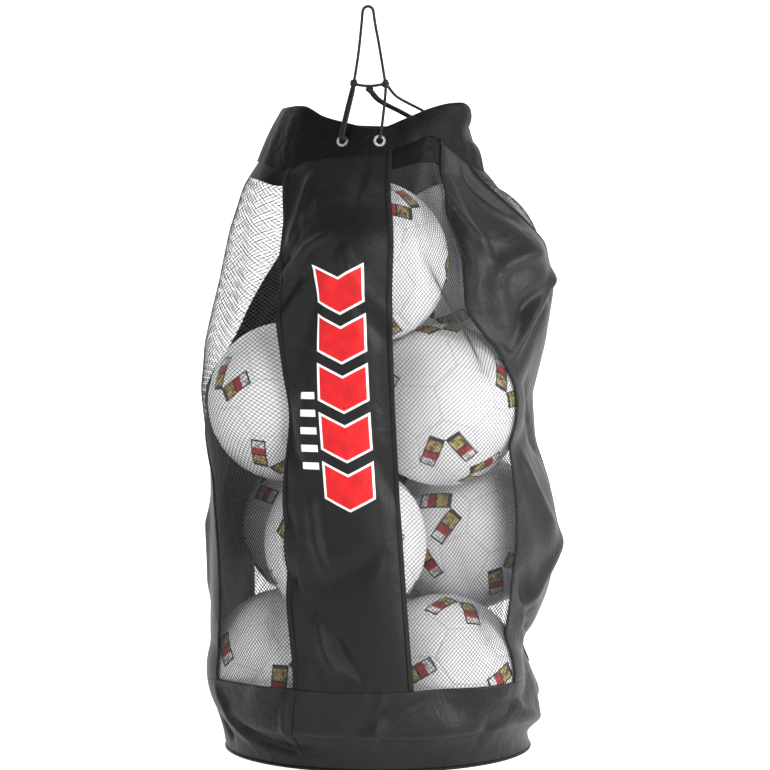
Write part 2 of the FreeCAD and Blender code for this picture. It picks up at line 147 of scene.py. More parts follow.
def finish_piece(
    piece: bpy.types.Object,
    material: bpy.types.Material,
    body: str = BAG,
    replaced: tuple[str, ...] = (),
) -> bpy.types.Object:
    """Dress a piece, tie it to its body and hide the CAD nodes that it stands for."""
    if not piece.data.materials:
        piece.data.materials.append(material)
    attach(piece, body)
    if replaced:
        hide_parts(*replaced)
    log.info("%s: %d faces", piece.name, len(getattr(piece.data, "polygons", ())))
    return piece


# ---------------------------------------------------------------- finishes


class NodeTree:
    """A material's nodes, with one way to add and link them."""

    def __init__(self, name: str) -> None:
        """Start an empty material of that name."""
        self.material = bpy.data.materials.new(name)
        self.material.use_nodes = True
        self.material.node_tree.nodes.clear()
        self.output = self.add("ShaderNodeOutputMaterial")

    def add(self, kind: str, settings: dict | None = None, **inputs: object) -> bpy.types.Node:
        """Add a node with its settings and what feeds it.

        Args:
            kind: Blender's name for the node's type.
            settings: Properties of the node by name.
            inputs: Sockets by name, with underscores for spaces; an index is written i0, i1.
                A value is set on the socket, and an output socket is linked to it.

        Returns:
            The new node.
        """
        node = self.material.node_tree.nodes.new(kind)
        for key, value in (settings or {}).items():
            setattr(node, key, value)
        for key, value in inputs.items():
            number = key[1:]
            socket = node.inputs[int(number)] if number.isdigit() else node.inputs[key.replace("_", " ")]
            if isinstance(value, bpy.types.NodeSocket):
                self.material.node_tree.links.new(value, socket)
            else:
                socket.default_value = value
        return node

    def math(self, operation: str, *values: object) -> bpy.types.NodeSocket:
        """One number worked out from others."""
        inputs = {f"i{i}": value for i, value in enumerate(values)}
        return self.add("ShaderNodeMath", {"operation": operation}, **inputs).outputs[0]

    def mix(self, amount: object, first: object, second: object) -> bpy.types.NodeSocket:
        """A colour between two, by an amount from zero to one."""
        node = self.add("ShaderNodeMix", {"data_type": "RGBA"}, i0=amount, i6=first, i7=second)
        return node.outputs[2]

    def done(self, surface: bpy.types.Node) -> bpy.types.Material:
        """Link the surface and hand the material over."""
        links = self.material.node_tree.links
        links.new(surface.outputs[0], self.output.inputs["Surface"])
        return self.material


@dataclass(frozen=True)
class WovenCloth:
    """Coated woven polyester: a matt face with fine square threads and a soft sheen on its folds."""

    name: str
    colour: str
    light_colour: str
    thread_spacing: float = 1.1
    crease_size: float = 48.0
    roughness: float = 0.44
    gloss: float = 0.2
    print_on: bool = False

    def make(self) -> bpy.types.Material:
        """Build the material; its pattern lies on the piece's own UV map, in metres."""
        tree = NodeTree(self.name)
        uv = tree.add("ShaderNodeUVMap").outputs["UV"]
        place = tree.add("ShaderNodeTexCoord").outputs["Object"]
        across = tree.add("ShaderNodeSeparateXYZ", i0=uv)
        # the real threads are about 0.3 mm apart; they are drawn coarser, as far as they show
        turns = 2 * math.pi / (self.thread_spacing * MM)
        warp = tree.math("SINE", tree.math("MULTIPLY", across.outputs[0], turns))
        weft = tree.math("SINE", tree.math("MULTIPLY", across.outputs[1], turns))
        weave = tree.math("MULTIPLY", warp, weft)
        slubs = tree.add("ShaderNodeTexNoise", Vector=place, Scale=420.0, Detail=3.0).outputs[0]
        shade = tree.add("ShaderNodeTexNoise", Vector=place, Scale=9.0, Detail=4.0).outputs[0]
        creases = tree.add(
            "ShaderNodeTexNoise",
            Vector=place,
            Scale=1 / (self.crease_size * MM),
            Detail=5.0,
            Roughness=0.55,
            Distortion=0.6,
        ).outputs[0]
        tone = tree.math("MULTIPLY_ADD", weave, 0.12, shade)
        tone = tree.math("MULTIPLY_ADD", slubs, 0.25, tone)
        tone = tree.math("SUBTRACT", tone, 0.2)
        cloth = tree.mix(tone, linear(self.colour), linear(self.light_colour))
        if self.print_on:
            cloth = front_print(tree, across, cloth)
        threads = tree.add("ShaderNodeBump", Strength=0.22, Distance=0.0002, Height=weave)
        folds = tree.add(
            "ShaderNodeBump", Strength=0.6, Distance=0.006, Height=creases, Normal=threads.outputs[0]
        )
        surface = tree.add(
            "ShaderNodeBsdfPrincipled",
            Base_Color=cloth,
            Roughness=self.roughness,
            Normal=folds.outputs[0],
            Sheen_Weight=0.015,
            Sheen_Roughness=0.4,
            Specular_IOR_Level=self.gloss,
        )
        return tree.done(surface)


def front_print(
    tree: NodeTree, across: bpy.types.Node, cloth: bpy.types.NodeSocket
) -> bpy.types.NodeSocket:
    """A plain printed motif: a column of outlined red chevrons with pale bars beside it.

    Args:
        tree: The cloth's nodes.
        across: The split UV map, with zero at the motif's middle.
        cloth: The colour of the cloth round the motif.

    Returns:
        The colour of the cloth with the motif on it.
    """
    width = 0.07
    pitch = 0.064
    chevrons = 5
    thick_half = 0.0245
    outline = 0.0032
    lean = 0.5
    motif_right = 0.017
    motif_up = 0.03
    bar_left = -0.036
    bar_half = 0.013
    bar_pitch = 0.023
    bar_thick_half = 0.0045
    bars = 5
    bars_up = -0.017
    right = tree.math("SUBTRACT", across.outputs[0], motif_right)
    up = tree.math("SUBTRACT", across.outputs[1], motif_up)
    away = tree.math("ABSOLUTE", right)
    height = tree.math("MULTIPLY_ADD", away, -lean, up)

    def stripe(
        place: bpy.types.NodeSocket, gap: float, half: float, count: int
    ) -> bpy.types.NodeSocket:
        """One inside a row of equal stripes, as far as it has a whole stripe."""
        # moved up by whole stripes and a half, so that the remainder is never negative
        step = tree.math("MODULO", tree.math("ADD", place, 20.5 * gap), gap)
        near = tree.math("ABSOLUTE", tree.math("SUBTRACT", step, gap / 2))
        whole = tree.math("LESS_THAN", tree.math("ABSOLUTE", place), count * gap / 2)
        return tree.math("MULTIPLY", whole, tree.math("LESS_THAN", near, half))

    def chevron(margin: float) -> bpy.types.NodeSocket:
        """One where a chevron, less a margin, covers the cloth."""
        wide = tree.math("LESS_THAN", away, width / 2 - margin)
        return tree.math("MULTIPLY", wide, stripe(height, pitch, thick_half - margin, chevrons))

    bar_away = tree.math("ABSOLUTE", tree.math("SUBTRACT", across.outputs[0], bar_left))
    bar_wide = tree.math("LESS_THAN", bar_away, bar_half)
    bar_up = tree.math("SUBTRACT", across.outputs[1], bars_up)
    bar = tree.math("MULTIPLY", bar_wide, stripe(bar_up, bar_pitch, bar_thick_half, bars))
    mottle = tree.add("ShaderNodeTexNoise", Vector=across.inputs[0].links[0].from_socket, Scale=45.0)
    red = tree.mix(mottle.outputs[0], linear("8e0c12"), linear("e01c22"))
    white = linear("e8e6e6")
    result = tree.mix(tree.math("MAXIMUM", chevron(0.0), bar), cloth, white)
    return tree.mix(chevron(outline), result, red)


@dataclass(frozen=True)
class NetYarn:
    """Knitted polyester netting: thin black yarn with a slight gloss."""

    name: str = "black knitted polyester net"
    colour: str = "161617"

    def make(self) -> bpy.types.Material:
        """Build the material on object coordinates."""
        tree = NodeTree(self.name)
        place = tree.add("ShaderNodeTexCoord").outputs["Object"]
        fibres = tree.add("ShaderNodeTexNoise", Vector=place, Scale=900.0, Detail=2.0).outputs[0]
        colour = tree.mix(fibres, linear(self.colour), linear("2c2c2e"))
        bump = tree.add("ShaderNodeBump", Strength=0.3, Distance=0.0001, Height=fibres)
        surface = tree.add(
            "ShaderNodeBsdfPrincipled", Base_Color=colour, Roughness=0.55, Normal=bump.outputs[0]
        )
        return tree.done(surface)


@dataclass(frozen=True)
class BraidedCord:
    """Braided polyester cord: crossing black strands with a soft shine."""

    name: str = "black braided polyester cord"
    stitch: float = 3.2
    carriers: int = 4

    def make(self) -> bpy.types.Material:
        """Build the material; its strands cross along the tube's own "lay" attribute."""
        tree = NodeTree(self.name)
        lay = tree.add("ShaderNodeAttribute", {"attribute_name": "lay"}).outputs["Vector"]
        split = tree.add("ShaderNodeSeparateXYZ", i0=lay)
        around = tree.math("ARCTAN2", split.outputs[1], split.outputs[0])
        turned = tree.math("MULTIPLY", around, float(self.carriers))
        along = tree.math("MULTIPLY", split.outputs[2], 2 * math.pi / (self.stitch * MM))
        right_hand = tree.math("SINE", tree.math("ADD", along, turned))
        left_hand = tree.math("SINE", tree.math("SUBTRACT", along, turned))
        raised = tree.math("MAXIMUM", right_hand, left_hand)
        # Painted highlight and painted shade: the crests of the strands are lighter and the grooves between
        # them darker, by the braid's height, on one black yarn.
        colour = tree.mix(tree.math("MAXIMUM", raised, 0.0), linear("060607"), linear("1e1e20"))
        bump = tree.add("ShaderNodeBump", Strength=0.8, Distance=0.0005, Height=raised)
        surface = tree.add(
            "ShaderNodeBsdfPrincipled",
            Base_Color=colour,
            Roughness=0.6,
            Normal=bump.outputs[0],
            Specular_IOR_Level=0.3,
        )
        return tree.done(surface)


@dataclass(frozen=True)
class PlatedBrass:
    """Nickel-plated brass: bright grey metal, rubbed a little where the cord runs."""

    name: str = "nickel plated brass"

    def make(self) -> bpy.types.Material:
        """Build the material on object coordinates."""
        tree = NodeTree(self.name)
        place = tree.add("ShaderNodeTexCoord").outputs["Object"]
        rub = tree.add("ShaderNodeTexNoise", Vector=place, Scale=350.0, Detail=4.0).outputs[0]
        colour = tree.mix(rub, linear("8f8f8c"), linear("d2d2cf"))
        rough = tree.math("MULTIPLY_ADD", rub, 0.3, 0.15)
        surface = tree.add("ShaderNodeBsdfPrincipled", Base_Color=colour, Metallic=1.0, Roughness=rough)
        return tree.done(surface)


@dataclass(frozen=True)
class BallCover:
    """Grained polyurethane ball leather: clean white with a fine pebble and a satin gloss."""

    name: str = "white grained polyurethane"
    colour: str = "f6f6f7"

    def make(self) -> bpy.types.Material:
        """Build the material; the seams are darker by an attribute of the mesh."""
        tree = NodeTree(self.name)
        place = tree.add("ShaderNodeTexCoord").outputs["Object"]
        seam = tree.add("ShaderNodeAttribute", {"attribute_name": "seam"}).outputs["Fac"]
        # pebbles of about 1.4 mm
        pebble = tree.add("ShaderNodeTexVoronoi", Vector=place, Scale=700.0).outputs["Distance"]
        dirt = tree.add("ShaderNodeTexNoise", Vector=place, Scale=14.0, Detail=5.0).outputs[0]
        white = tree.mix(dirt, linear("ececee"), linear(self.colour))
        colour = tree.mix(tree.math("MULTIPLY", seam, 0.25), white, linear("77777c"))
        bump = tree.add("ShaderNodeBump", Strength=0.25, Distance=0.0003, Height=pebble)
        surface = tree.add(
            "ShaderNodeBsdfPrincipled",
            Base_Color=colour,
            Roughness=0.42,
            Normal=bump.outputs[0],
            Coat_Weight=0.15,
            Coat_Roughness=0.3,
        )
        return tree.done(surface)


@dataclass(frozen=True)
class PrintedInk:
    """Screen-printed ink on the ball's cover: one flat colour with a worn, uneven coat."""

    name: str
    colour: str
    worn_colour: str

    def make(self) -> bpy.types.Material:
        """Build the material on object coordinates."""
        tree = NodeTree(self.name)
        place = tree.add("ShaderNodeTexCoord").outputs["Object"]
        wear = tree.add("ShaderNodeTexNoise", Vector=place, Scale=160.0, Detail=6.0).outputs[0]
        patchy = tree.math("MULTIPLY_ADD", wear, 4.0, -1.6)
        colour = tree.mix(patchy, linear(self.colour), linear(self.worn_colour))
        bump = tree.add("ShaderNodeBump", Strength=0.2, Distance=0.0002, Height=wear)
        surface = tree.add(
            "ShaderNodeBsdfPrincipled", Base_Color=colour, Roughness=0.38, Normal=bump.outputs[0]
        )
        return tree.done(surface)


@dataclass(frozen=True)
class MouldedRubber:
    """Butyl rubber: dull black with a faint bloom."""

    name: str = "black butyl rubber"

    def make(self) -> bpy.types.Material:
        """Build the material on object coordinates."""
        tree = NodeTree(self.name)
        place = tree.add("ShaderNodeTexCoord").outputs["Object"]
        bloom = tree.add("ShaderNodeTexNoise", Vector=place, Scale=60.0, Detail=5.0).outputs[0]
        colour = tree.mix(bloom, linear("141414"), linear("2b2b2b"))
        surface = tree.add("ShaderNodeBsdfPrincipled", Base_Color=colour, Roughness=0.75)
        return tree.done(surface)


# ---------------------------------------------------------------- the drawcord

CORD_DIAMETER = 0.004

# The same points as the design's route, in metres.
CORD_ROUTES = {
    "hang_loop": [
        (-0.0316, -0.132, 0.9165),
        (-0.0285, -0.132, 0.935),
        (-0.0252, -0.132, 0.957),
        (-0.0212, -0.1315, 0.996),
        (-0.0198, -0.131, 1.0165),
        (-0.0062, -0.131, 1.0165),
        (-0.0045, -0.1315, 0.998),
        (0.0022, -0.132, 0.9645),
        (0.0098, -0.132, 0.9165),
    ],
    "tie_strand": [
        (-0.0285, -0.1326, 0.9128),
        (-0.011, -0.137, 0.9085),
        (0.007, -0.1327, 0.9132),
    ],
    "left_strand_outer": [
        (-0.0475, -0.1315, 0.838),
        (-0.0514, -0.1428, 0.8386),
        (-0.0472, -0.1416, 0.858),
        (-0.0352, -0.1342, 0.907),
        (-0.0335, -0.1331, 0.911),
    ],
    "left_strand_inner": [
        (-0.0435, -0.1329, 0.838),
        (-0.0474, -0.1443, 0.8386),
        (-0.0432, -0.1434, 0.8585),
        (-0.0314, -0.1364, 0.9063),
        (-0.0316, -0.1345, 0.9105),
    ],
    "right_strand": [
        (0.0024, -0.1399, 0.838),
        (0.0028, -0.1514, 0.8388),
        (0.0056, -0.1486, 0.856),
        (0.0092, -0.14, 0.888),
        (0.0107, -0.1356, 0.9059),
        (0.0106, -0.134, 0.9105),
    ],
    "mouth_strand_short": [
        (0.0118, -0.129, 0.9122),
        (0.0139, -0.125, 0.9105),
        (0.023, -0.1105, 0.8985),
        (0.038, -0.085, 0.891),
        (0.066, -0.037, 0.879),
        (0.093, 0.0105, 0.8615),
        (0.111, 0.0435, 0.846),
        (0.1189, 0.0606, 0.8384),
        (0.1246, 0.0635, 0.838),
    ],
    "mouth_strand_lower": [
        (-0.0101, -0.1245, 0.9045),
        (-0.0093, -0.1212, 0.901),
        (-0.0025, -0.106, 0.8935),
        (0.009, -0.08, 0.8875),
        (0.0265, -0.042, 0.8805),
        (0.049, 0.006, 0.87),
        (0.07, 0.053, 0.857),
        (0.0808, 0.0832, 0.8445),
        (0.0863, 0.0994, 0.8386),
        (0.0917, 0.1055, 0.838),
    ],
    "mouth_strand_upper": [
        (-0.008, -0.1258, 0.905),
        (-0.0052, -0.1234, 0.902),
        (0.0016, -0.1079, 0.8941),
        (0.0131, -0.0819, 0.888),
        (0.0306, -0.0439, 0.881),
        (0.0531, 0.0041, 0.8705),
        (0.0741, 0.0511, 0.8575),
        (0.0854, 0.081, 0.8445),
        (0.0895, 0.0967, 0.8387),
        (0.0949, 0.1027, 0.838),
    ],
}


@dataclass
class Drawcord:
    """The cord's free strands and the knots that tie them."""

    diameter: float = CORD_DIAMETER
    tube_sides: int = 5
    knot_turns: float = 2.7
    knot_points: int = 12

    def spline(self, name: str, points: list[tuple[float, float, float]]) -> bpy.types.Object:
        """A smooth curve through a strand's route, with no thickness yet."""
        curve = bpy.data.curves.new(name, "CURVE")
        curve.dimensions = "3D"
        line = curve.splines.new("NURBS")
        line.points.add(len(points) - 1)
        for control, point in zip(line.points, points):
            control.co = (*point, 1.0)
        line.order_u = 3
        line.use_endpoint_u = True
        line.resolution_u = 16
        piece = bpy.data.objects.new(name, curve)
        bpy.context.collection.objects.link(piece)
        return piece

    def centreline(self, piece: bpy.types.Object) -> np.ndarray:
        """The points that a curve with no thickness follows, in order."""
        graph = bpy.context.evaluated_depsgraph_get()
        line = bpy.data.meshes.new_from_object(piece.evaluated_get(graph))
        return np.array([v.co for v in line.vertices])

    def tube(self, piece: bpy.types.Object, thickness: float) -> tuple[bpy.types.Object, np.ndarray]:
        """Turn a curve into a round tube with capped ends and its braid's lay.

        Args:
            piece: The curve.
            thickness: The tube's diameter.

        Returns:
            The mesh object and the points of its centreline.
        """
        path = self.centreline(piece)
        piece.data.bevel_depth = thickness / 2
        piece.data.bevel_resolution = self.tube_sides
        piece.data.use_fill_caps = True
        only(piece)
        bpy.ops.object.convert(target="MESH")
        made = bpy.context.object
        places = np.array([v.co for v in made.data.vertices])
        nearest = np.argmin(np.linalg.norm(places[:, None] - path[None], axis=2), axis=1)
        along = np.r_[0, np.cumsum(np.linalg.norm(np.diff(path, axis=0), axis=1))]
        tangent = np.gradient(path, axis=0)
        tangent /= np.linalg.norm(tangent, axis=1, keepdims=True)
        # any direction that no strand runs along, to start the braid from
        side = np.cross(tangent, (0.31, 0.87, 0.38))
        side /= np.linalg.norm(side, axis=1, keepdims=True)
        other = np.cross(tangent, side)
        out = places - path[nearest]
        lay = made.data.attributes.new("lay", "FLOAT_VECTOR", "POINT")
        rows = np.c_[(out * side[nearest]).sum(1), (out * other[nearest]).sum(1), along[nearest]]
        lay.data.foreach_set("vector", rows.reshape(-1))
        made.data.polygons.foreach_set("use_smooth", [True] * len(made.data.polygons))
        return made, path

    def build(self, cord: bpy.types.Material) -> None:
        for name, points in CORD_ROUTES.items():
            piece, path = self.tube(self.spline(f"{name}_cord", points), self.diameter)
            finish_piece(piece, cord, LOOP if name == LOOP else BAG, (name,))

    def knot(self, name: str, material: bpy.types.Material, turn: float) -> bpy.types.Object:
        """A knot of the same cord: three turns wound round its own middle strand.

        Args:
            name: The CAD node that it stands for.
            material: The cord's material.
            turn: How far it is turned about the upright axis, in degrees.

        Returns:
            The knot.
        """
        centre = centre_of(name)
        low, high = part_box(name)
        reach = (high.z - low.z) / 2
        rotation = Matrix.Rotation(math.radians(turn), 3, "Z") @ Matrix.Rotation(0.5, 3, "X")
        points = []
        for step in range(self.knot_points):
            share = step / (self.knot_points - 1)
            angle = 2 * math.pi * self.knot_turns * share
            radius = (reach - self.diameter * 0.45) * math.sin(math.pi * (0.12 + 0.76 * share)) ** 0.5
            rise = (0.5 - share) * reach * 1.25
            place = Vector((radius * math.cos(angle), radius * math.sin(angle), rise))
            points.append(tuple(rotation @ place + centre))
        points.append(tuple(centre + rotation @ Vector((0, 0, -reach * 0.5))))
        points.append(tuple(centre + rotation @ Vector((0, 0, reach * 0.7))))
        piece, _ = self.tube(self.spline(f"{name}_cord", points), self.diameter * 1.05)
        return finish_piece(piece, material, BAG, (name,))


# ---------------------------------------------------------------- the bag's cloth


class Zone(Enum):
    """What a strip of the tube is made of."""

    PANEL = "panel"
    WINDOW = "net_window"


class Side(Enum):
    """A side of the bag, each with a panel and the net window to its right."""

    FRONT = "front"
    RIGHT = "right"
    BACK = "back"
    LEFT = "left"


# The way of each panel's two seams up the bag: height in metres and azimuth in degrees.
SEAM_ROUTES = (
    ((0.0, -28.5), (0.115, -28.5), (0.3, -31), (0.5, -34.6), (0.64, -36), (0.758, -42), (0.811, -48)),
    ((0.0, 11.5), (0.115, 11.0), (0.3, 8.5), (0.5, 5.5), (0.64, 4), (0.758, 4), (0.811, 6)),
    ((0.0, 50), (0.3, 52), (0.53, 52.5), (0.577, 48), (0.64, 39), (0.7, 39), (0.752, 35), (0.811, 37)),
    ((0.0, 98), (0.5, 98), (0.7, 91), (0.75, 82), (0.796, 64), (0.811, 60)),
    ((0.0, 142), (0.5, 140), (0.723, 124), (0.811, 118)),
    ((0.0, 188), (0.45, 186), (0.6, 172), (0.723, 160), (0.811, 156)),
    ((0.0, 234), (0.3, 232), (0.454, 222), (0.573, 206), (0.723, 190), (0.811, 184)),
    ((0.0, 292), (0.3, 291), (0.4, 289), (0.454, 271), (0.573, 248), (0.723, 226), (0.811, 216)),
)

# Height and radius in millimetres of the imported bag's outline on its right and on its left.
RIGHT_OUTLINE = (
    (0, 212),
    (22, 206),
    (60, 225),
    (95, 219),
    (140, 203),
    (215, 233),
    (290, 253),
    (360, 241),
    (425, 217),
    (490, 212),
    (560, 230),
    (640, 243),
    (700, 230),
    (750, 187),
    (800, 147),
)
LEFT_OUTLINE = (
    (0, 212),
    (22, 214),
    (60, 226),
    (115, 234),
    (290, 233),
    (390, 234),
    (500, 246),
    (560, 238),
    (650, 217),
    (720, 205),
    (780, 186),
    (815, 162),
)

# Azimuth in degrees, radius and height in millimetres of the seam under the collar and of the rim.
NECK_SEAM = [
    (-165, 152, 808),
    (-130, 156, 806),
    (-95, 162, 815),
    (-72, 162, 812),
    (-50, 158, 800),
    (-36, 154, 812),
    (-14, 150, 816),
    (6, 148, 824),
    (20, 146, 838),
    (32, 142, 845),
    (45, 140, 826),
    (62, 142, 808),
    (88, 146, 800),
    (120, 150, 806),
    (160, 150, 808),
]
RIM = [
    (-165, 126, 864),
    (-130, 128, 872),
    (-100, 130, 882),
    (-74, 131, 884),
    (-50, 130, 884),
    (-36, 131, 871),
    (-19, 134, 861),
    (0, 136, 853),
    (16, 134, 866),
    (32, 133, 880),
    (47, 137, 888),
    (62, 138, 887),
    (84, 124, 866),
    (110, 124, 860),
    (150, 128, 862),
]


@dataclass(frozen=True)
class Crease:
    """A fold in the cloth along a line: a ridge if its depth is positive, a valley if negative."""

    start: tuple[float, float]
    end: tuple[float, float]
    depth: float
    width: float

    def lift(self, azimuth: np.ndarray, height: np.ndarray) -> np.ndarray:
        """How far the fold moves each point outwards, in metres.

        Args:
            azimuth: The points' azimuths in degrees.
            height: Their heights in metres.

        Returns:
            The distances, which fade out towards the line's ends.
        """
        mean_radius = 235
        scale = np.array([math.radians(1) * mean_radius, 1.0])
        a = np.array(self.start) * scale
        b = np.array(self.end) * scale
        u = ((azimuth - self.start[0] + 180) % 360 - 180 + self.start[0]) * scale[0]
        v = height / MM
        run = b - a
        length = np.hypot(*run)
        along = ((u - a[0]) * run[0] + (v - a[1]) * run[1]) / length**2
        aside = ((u - a[0]) * run[1] - (v - a[1]) * run[0]) / length
        bow = aside - 0.06 * length * np.sin(np.clip(along, 0, 1) * math.pi)
        fade = smooth_step(-0.12, 0.25, along) * smooth_step(1.12, 0.75, along)
        return self.depth * MM * np.exp(-((bow / self.width) ** 2)) * fade


# Azimuth in degrees and height in millimetres of each end, depth and half width in millimetres.
CREASES = (
    Crease((-16, 735), (-38, 668), -5.0, 9),
    Crease((-15, 718), (-38, 645), 4.0, 8),
    Crease((-16, 700), (-37, 606), -6.0, 9),
    Crease((-13, 700), (6, 600), 4.5, 10),
    Crease((-9, 640), (8, 560), -4.0, 12),
    Crease((-4, 800), (-14, 690), -3.5, 9),
    Crease((-30, 800), (-34, 690), 3.5, 9),
    Crease((-21, 380), (-15, 255), 5.0, 9),
    Crease((-30, 350), (-27, 230), -6.0, 10),
    Crease((-36, 520), (-24, 400), -3.5, 10),
    Crease((-22, 250), (2, 300), -4.0, 14),
    Crease((-20, 215), (-12, 130), 4.0, 8),
    Crease((-14, 190), (-4, 130), -4.0, 8),
    Crease((-2, 440), (9, 350), -3.0, 12),
    Crease((88, 662), (55, 548), 7.0, 9),
    Crease((80, 690), (45, 650), 5.0, 12),
    Crease((84, 640), (60, 600), -7.0, 16),
    Crease((50, 800), (80, 725), -6.0, 14),
    Crease((30, 790), (48, 690), 6.0, 12),
    Crease((66, 520), (92, 400), -6.0, 14),
    Crease((60, 420), (78, 300), 5.0, 14),
    Crease((90, 300), (60, 190), 5.0, 14),
    Crease((56, 260), (78, 150), -7.0, 14),
    Crease((70, 180), (96, 130), -8.0, 16),
    Crease((-96, 470), (-88, 330), -6.0, 12),
    Crease((-84, 340), (-92, 200), 5.0, 11),
    Crease((-100, 260), (-86, 140), -5.0, 12),
    Crease((120, 640), (150, 480), 4.0, 13),
    Crease((150, 700), (185, 560), -5.0, 13),
    Crease((148, 420), (176, 260), 5.0, 13),
    Crease((186, 330), (160, 170), -5.0, 13),
    Crease((176, 780), (164, 640), 5.0, 10),
    Crease((-128, 700), (-112, 560), -5.0, 11),
    Crease((-120, 430), (-104, 290), 5.0, 12),
    Crease((-31, 112), (-29, 20), 5.0, 7),
    Crease((-62, 60), (-20, 24), -6.0, 9),
    Crease((-70, 96), (-52, 30), 5.0, 8),
    Crease((-82, 80), (-66, 20), -6.0, 9),
    Crease((2, 112), (0, 16), 3.5, 8),
    Crease((18, 100), (-14, 40), -4.0, 12),
    Crease((44, 100), (84, 40), 6.0, 12),
    Crease((56, 104), (36, 36), -5.0, 12),
    Crease((96, 90), (120, 24), 4.0, 10),
    Crease((140, 96), (128, 24), -4.0, 10),
    Crease((176, 100), (190, 30), 4.5, 10),
    Crease((-142, 96), (-156, 26), -4.5, 10),
    Crease((-110, 100), (-120, 24), 4.0, 9),
)


